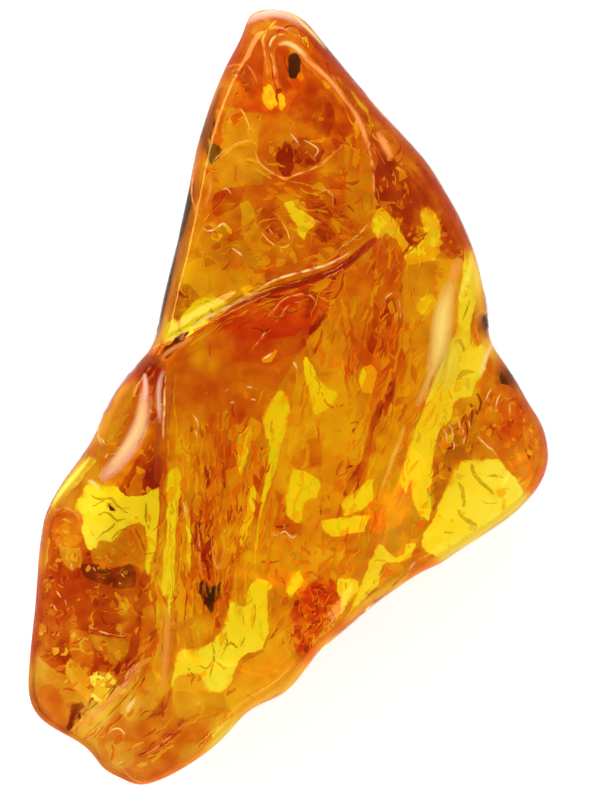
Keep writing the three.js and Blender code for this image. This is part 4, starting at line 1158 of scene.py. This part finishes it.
def cut_up(chance, outlines):
    """A flat sheet cut up along the outlines: its places, its triangles, and the stain and zone at each."""
    points, loops = [], []
    for outline in outlines:
        loops.append(list(range(len(points), len(points) + len(outline))))
        points += [Vector(point) for point in anticlockwise(outline)]
    y = low.y / MM
    while y < high.y / MM:
        x = low.x / MM
        while x < high.x / MM:
            points.append(Vector((x + chance.uniform(-LOOSE, LOOSE), y + chance.uniform(-LOOSE, LOOSE))))
            x += LOOSE_GRID
        y += LOOSE_GRID
    flat, _, corners, *_ = geometry.delaunay_2d_cdt(points, [], loops, 1, MERGED, True)

    flat, corners = np.array([tuple(place) for place in flat]), np.array(corners)
    corners = corners[np.argsort(flat[corners, 0].mean(axis=1), kind="stable")]
    middle_x, middle_y = flat[corners, 0].mean(axis=1), flat[corners, 1].mean(axis=1)
    uppermost, zone = np.full(len(corners), -1), np.full(len(corners), -1)
    for index, outline in enumerate(outlines):
        near = slice(*np.searchsorted(middle_x, (outline[:, 0].min(), outline[:, 0].max())))
        within = inside(outline, middle_x[near], middle_y[near])
        uppermost[near][within] = index
        if index < ZONES:
            zone[near][within] = index
    within = inside(outlines[0], middle_x, middle_y)
    used, numbers = np.unique(corners[within], return_inverse=True)
    return flat[used], numbers.reshape(-1, 3), uppermost[within], zone[within]


def averaged(corners, values):
    """The average at each place of the values of the triangles, or of their corners, that meet there."""
    values = np.broadcast_to(values if values.ndim == 2 else values[:, None], corners.shape)
    return np.bincount(corners.ravel(), values.ravel()) / np.bincount(corners.ravel())


def over_wash(tint):
    """The logarithm of the colour which a stain of this tint needs over the wash below it."""
    colour = np.log(TINTS[tint][0])
    return colour if tint in BARE else np.minimum(0, colour - np.log(WASH))


def within_stone(heights, places):
    """Moves the places up or down as far as it takes for them to lie within the stone."""
    roof = heights.at(heights.close_top, places[:, 0], places[:, 1]) - CLEARANCE
    ground = heights.at(heights.close_under, places[:, 0], places[:, 1]) + CLEARANCE
    places[:, 2] = np.maximum(np.minimum(places[:, 2], roof), np.minimum(ground, (roof + ground) / 2))


def stained_fractures(heights):
    """The stained walls of fractures within the stone: a sheet of stains, and one of the wash below them."""
    chance = random.Random(SEED)
    noise.seed_set(SEED)
    stains, zones = painted(chance, heights)
    tints, depths, outlines = zip(*stains)
    flat, corners, uppermost, zone = cut_up(chance, outlines)
    tilts = np.array([[chance.uniform(-most, most) for most in MOST_TILTED] for _ in range(ZONES)])
    x, y = flat.T

    def patchy(level, fineness):
        return patches(np.stack([x, y, np.full(len(x), level)], axis=1), fineness)

    # Each zone lies at its own depth and tilt, and the triangles of neighbours meet halfway.
    top = heights.at(heights.soft_top, x, y)
    thick = np.maximum(top - heights.at(heights.soft_under, x, y), THINNEST)
    lean_x, lean_y, deeper = tilts[zone].T[:, :, None]
    middles = np.array([outline.mean(axis=0) for outline in outlines[:ZONES]])[zone]
    lean = lean_x * (x[corners] - middles[:, :1]) + lean_y * (y[corners] - middles[:, 1:])
    depth = thick[corners] * (np.array(depths)[zone][:, None] + deeper)
    depth = averaged(corners, depth + np.clip(lean, -MOST_LEAN, MOST_LEAN))
    deepest = MOST_FOLDED / ((1 - 1 / IOR) * heights.at(heights.curl, x, y) + 0.03)
    shift_x, shift_y = heights.at(heights.shift_x, x, y), heights.at(heights.shift_y, x, y)

    tone = (1 + 0.5 * patchy(2, 0.28) + 0.35 * patchy(9, 0.9))[corners]
    blend = np.clip(BLEND + 0.9 * patchy(4, 0.3), 0.05, 0.95)[corners]
    washes = np.array([tint not in BARE for tint in tints])[zone]
    washed = averaged(corners, washes)[corners]
    wash = np.array(WASH) ** (tone * ((1 - blend) * washes[:, None] + blend * washed))[:, :, None]

    tint_here = np.array(tints)[uppermost]
    blend *= np.where(tint_here == np.array(tints)[zone], 1, BLEND_OF_FLECKS)[:, None]
    logs = np.array([over_wash(tint) for tint in tints])
    around = np.stack([averaged(corners, part) for part in logs[zone].T], axis=1)[corners]
    stain = (1 - blend)[:, :, None] * logs[uppermost][:, None] + blend[:, :, None] * around
    cloudy = np.clip(0.35 + 1.6 * patchy(6, 0.45), 0, 1)[corners] * np.isin(tint_here, CLOUDED)[:, None]
    stain = np.exp(tone[:, :, None] * (stain + cloudy[:, :, None] * np.log(CLOUD)))
    grain = np.array([TINTS[tint][1] for tint in tints])[uppermost]

    material = stain_material()

    def sheet(name, level, depth, most, colours, grain, kept):
        depth = np.minimum(np.maximum(LEAST_DEPTH, depth + 0.25 * patchy(level, 0.5)), deepest * most)
        places = np.stack([x + shift_x * depth, y + shift_y * depth, top - depth], axis=1)
        within_stone(heights, places)
        colours = np.dstack([colours, np.broadcast_to(grain, (3, len(corners))).T])
        return coloured_piece(name, places, corners[kept], "stain", "CORNER", colours[kept], material)

    sheets = [
        sheet("honey_wash", 0, WASH_DEPTH * thick, WASH_REACH, wash, WASH_GRAIN, washed.max(axis=1) > 0),
        sheet("stained_fractures", 1, depth, 1, stain, grain, slice(None)),
    ]
    return sheets, zones


def matt_rind(stone, heights, zones):
    """The thin matt rind left round the steep upper rim, in the tints of the zones that it borders. It glows
    a little and is painted paler where it faces the lower right: painted light.
    """
    mesh = stone.data
    normals = np.array([vertex.normal for vertex in mesh.vertices])
    places = np.array([vertex.co for vertex in mesh.vertices]) / MM + normals * RIND_GAP
    steep = np.clip((1 - np.abs(normals[:, 2]) - LEAST_STEEP) / STEEPNESS_FADE, 0, 1)
    patchy = patches(places, 0.5) + 0.6 * patches(places, 1.7)
    inward = MIDDLE - places[:, :2]
    inward /= np.linalg.norm(inward, axis=1)[:, None]
    # The level of the skin above is taken 1.2 mm further in, and the tints at 0.25 and 0.6 mm.
    roof = heights.at(heights.close_top, *(places[:, :2] + inward * 1.2).T)
    below = roof - places[:, 2] + 0.5 * patchy
    alpha = 0.97 * steep * steep * (3 - 2 * steep) * np.clip((RIND_DEPTH - below) / RIND_FADE, 0, 1)
    colours = np.empty((len(places), 4))
    for part in range(3):
        near, far = (
            heights.at(zones.colours[part], *(places[:, :2] + inward * reach).T) for reach in (0.25, 0.6)
        )
        colours[:, part] = RIND_TINT[part] * np.exp((1 + 0.4 * patchy) * (near + far) / 2)
    # Painted light: the rind is painted paler where it faces the lower right, as if lit from there.
    paler = 0.85 + 0.75 * np.clip(normals[:, :2] @ PAINTED_LIGHT_SIDE, 0, 1)
    colours[:, :3] = np.minimum(BRIGHTEST_RIND, colours[:, :3] * paler[:, None])
    colours[:, 3] = alpha
    faces = np.array([tuple(polygon.vertices) for polygon in mesh.polygons])
    faces = faces[alpha[faces].max(axis=1) > 0.01]
    return coloured_piece("matt_rind", places, faces, "matt_colour", "POINT", colours, glowing_matt_material("rind", 0.12))


def painted_highlights_and_shade(heights):
    """Thin matt strips over the skin along its crests and folds: painted highlights, glints and painted
    shade, glowing a little.
    """
    places, faces, colours = [], [], []
    for tint, strength, width, line in PAINTED_HIGHLIGHT_AND_SHADE_STRIPS:
        line = curved(line, False, 6)
        across = sideways(line)
        broken = BROKEN_GLINTS if width < BROAD_PAINTED_STRIP else 0
        for i, point in enumerate(line):
            share = i / (len(line) - 1)
            ends = math.sin(math.pi * share) ** 0.6
            for offset, part in PAINTED_STRIP_PROFILE:
                reach = across[i] * width * SQUARE / 2 * (0.5 + 0.5 * ends) * offset
                for kept in (1, 0.8, 0.6, 0.4, 0.2, 0):
                    x, y = point + reach * kept
                    hit, normal = heights.from_above(x, y)
                    if hit:
                        break
                places.append(hit and hit + normal * PAINTED_STRIP_GAP)
                gaps = 1 + broken * min(0, noise.noise(Vector((x, y, 3)) * 1.6) - 0.05)
                colours.append((*PAINTED_STRIP_TINTS[tint], strength * part * ends * max(0, gaps)))
                if i and offset > -1:
                    here = len(places) - 1
                    faces.append((here - 1, here, here - len(PAINTED_STRIP_PROFILE), here - 1 - len(PAINTED_STRIP_PROFILE)))
    faces = [face for face in faces if all(places[corner] for corner in face)]
    places = np.array([place or (0, 0, 0) for place in places])
    colours = np.array(colours)
    return coloured_piece("painted_highlights_and_shade", places, faces, "matt_colour", "POINT", colours, glowing_matt_material("painted_strips_material", 0.2))


make_camera()
make_world()
make_floor()
softbox("left", 148, 36, (0.34, 0.1), 9)
softbox("back", 92, 34, (0.34, 0.1), 8)
softbox("front", 290, 32, (0.24, 0.06), 5)

stone = polished(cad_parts["amber_stone"])
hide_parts("amber_stone")
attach(stone, "root")

heights = Heights(stone)
sheets, zones = stained_fractures(heights)
rind = matt_rind(stone, heights, zones)
painted_strips = painted_highlights_and_shade(heights)
for piece in (*sheets, rind, painted_strips):
    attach(piece, "root")

scene = bpy.context.scene
scene.view_settings.view_transform = "Standard"
scene.cycles.max_bounces = 24
scene.cycles.transmission_bounces = 24
scene.cycles.glossy_bounces = 12
scene.cycles.transparent_max_bounces = 32
scene.cycles.caustics_refractive = True
scene.cycles.caustics_reflective = True
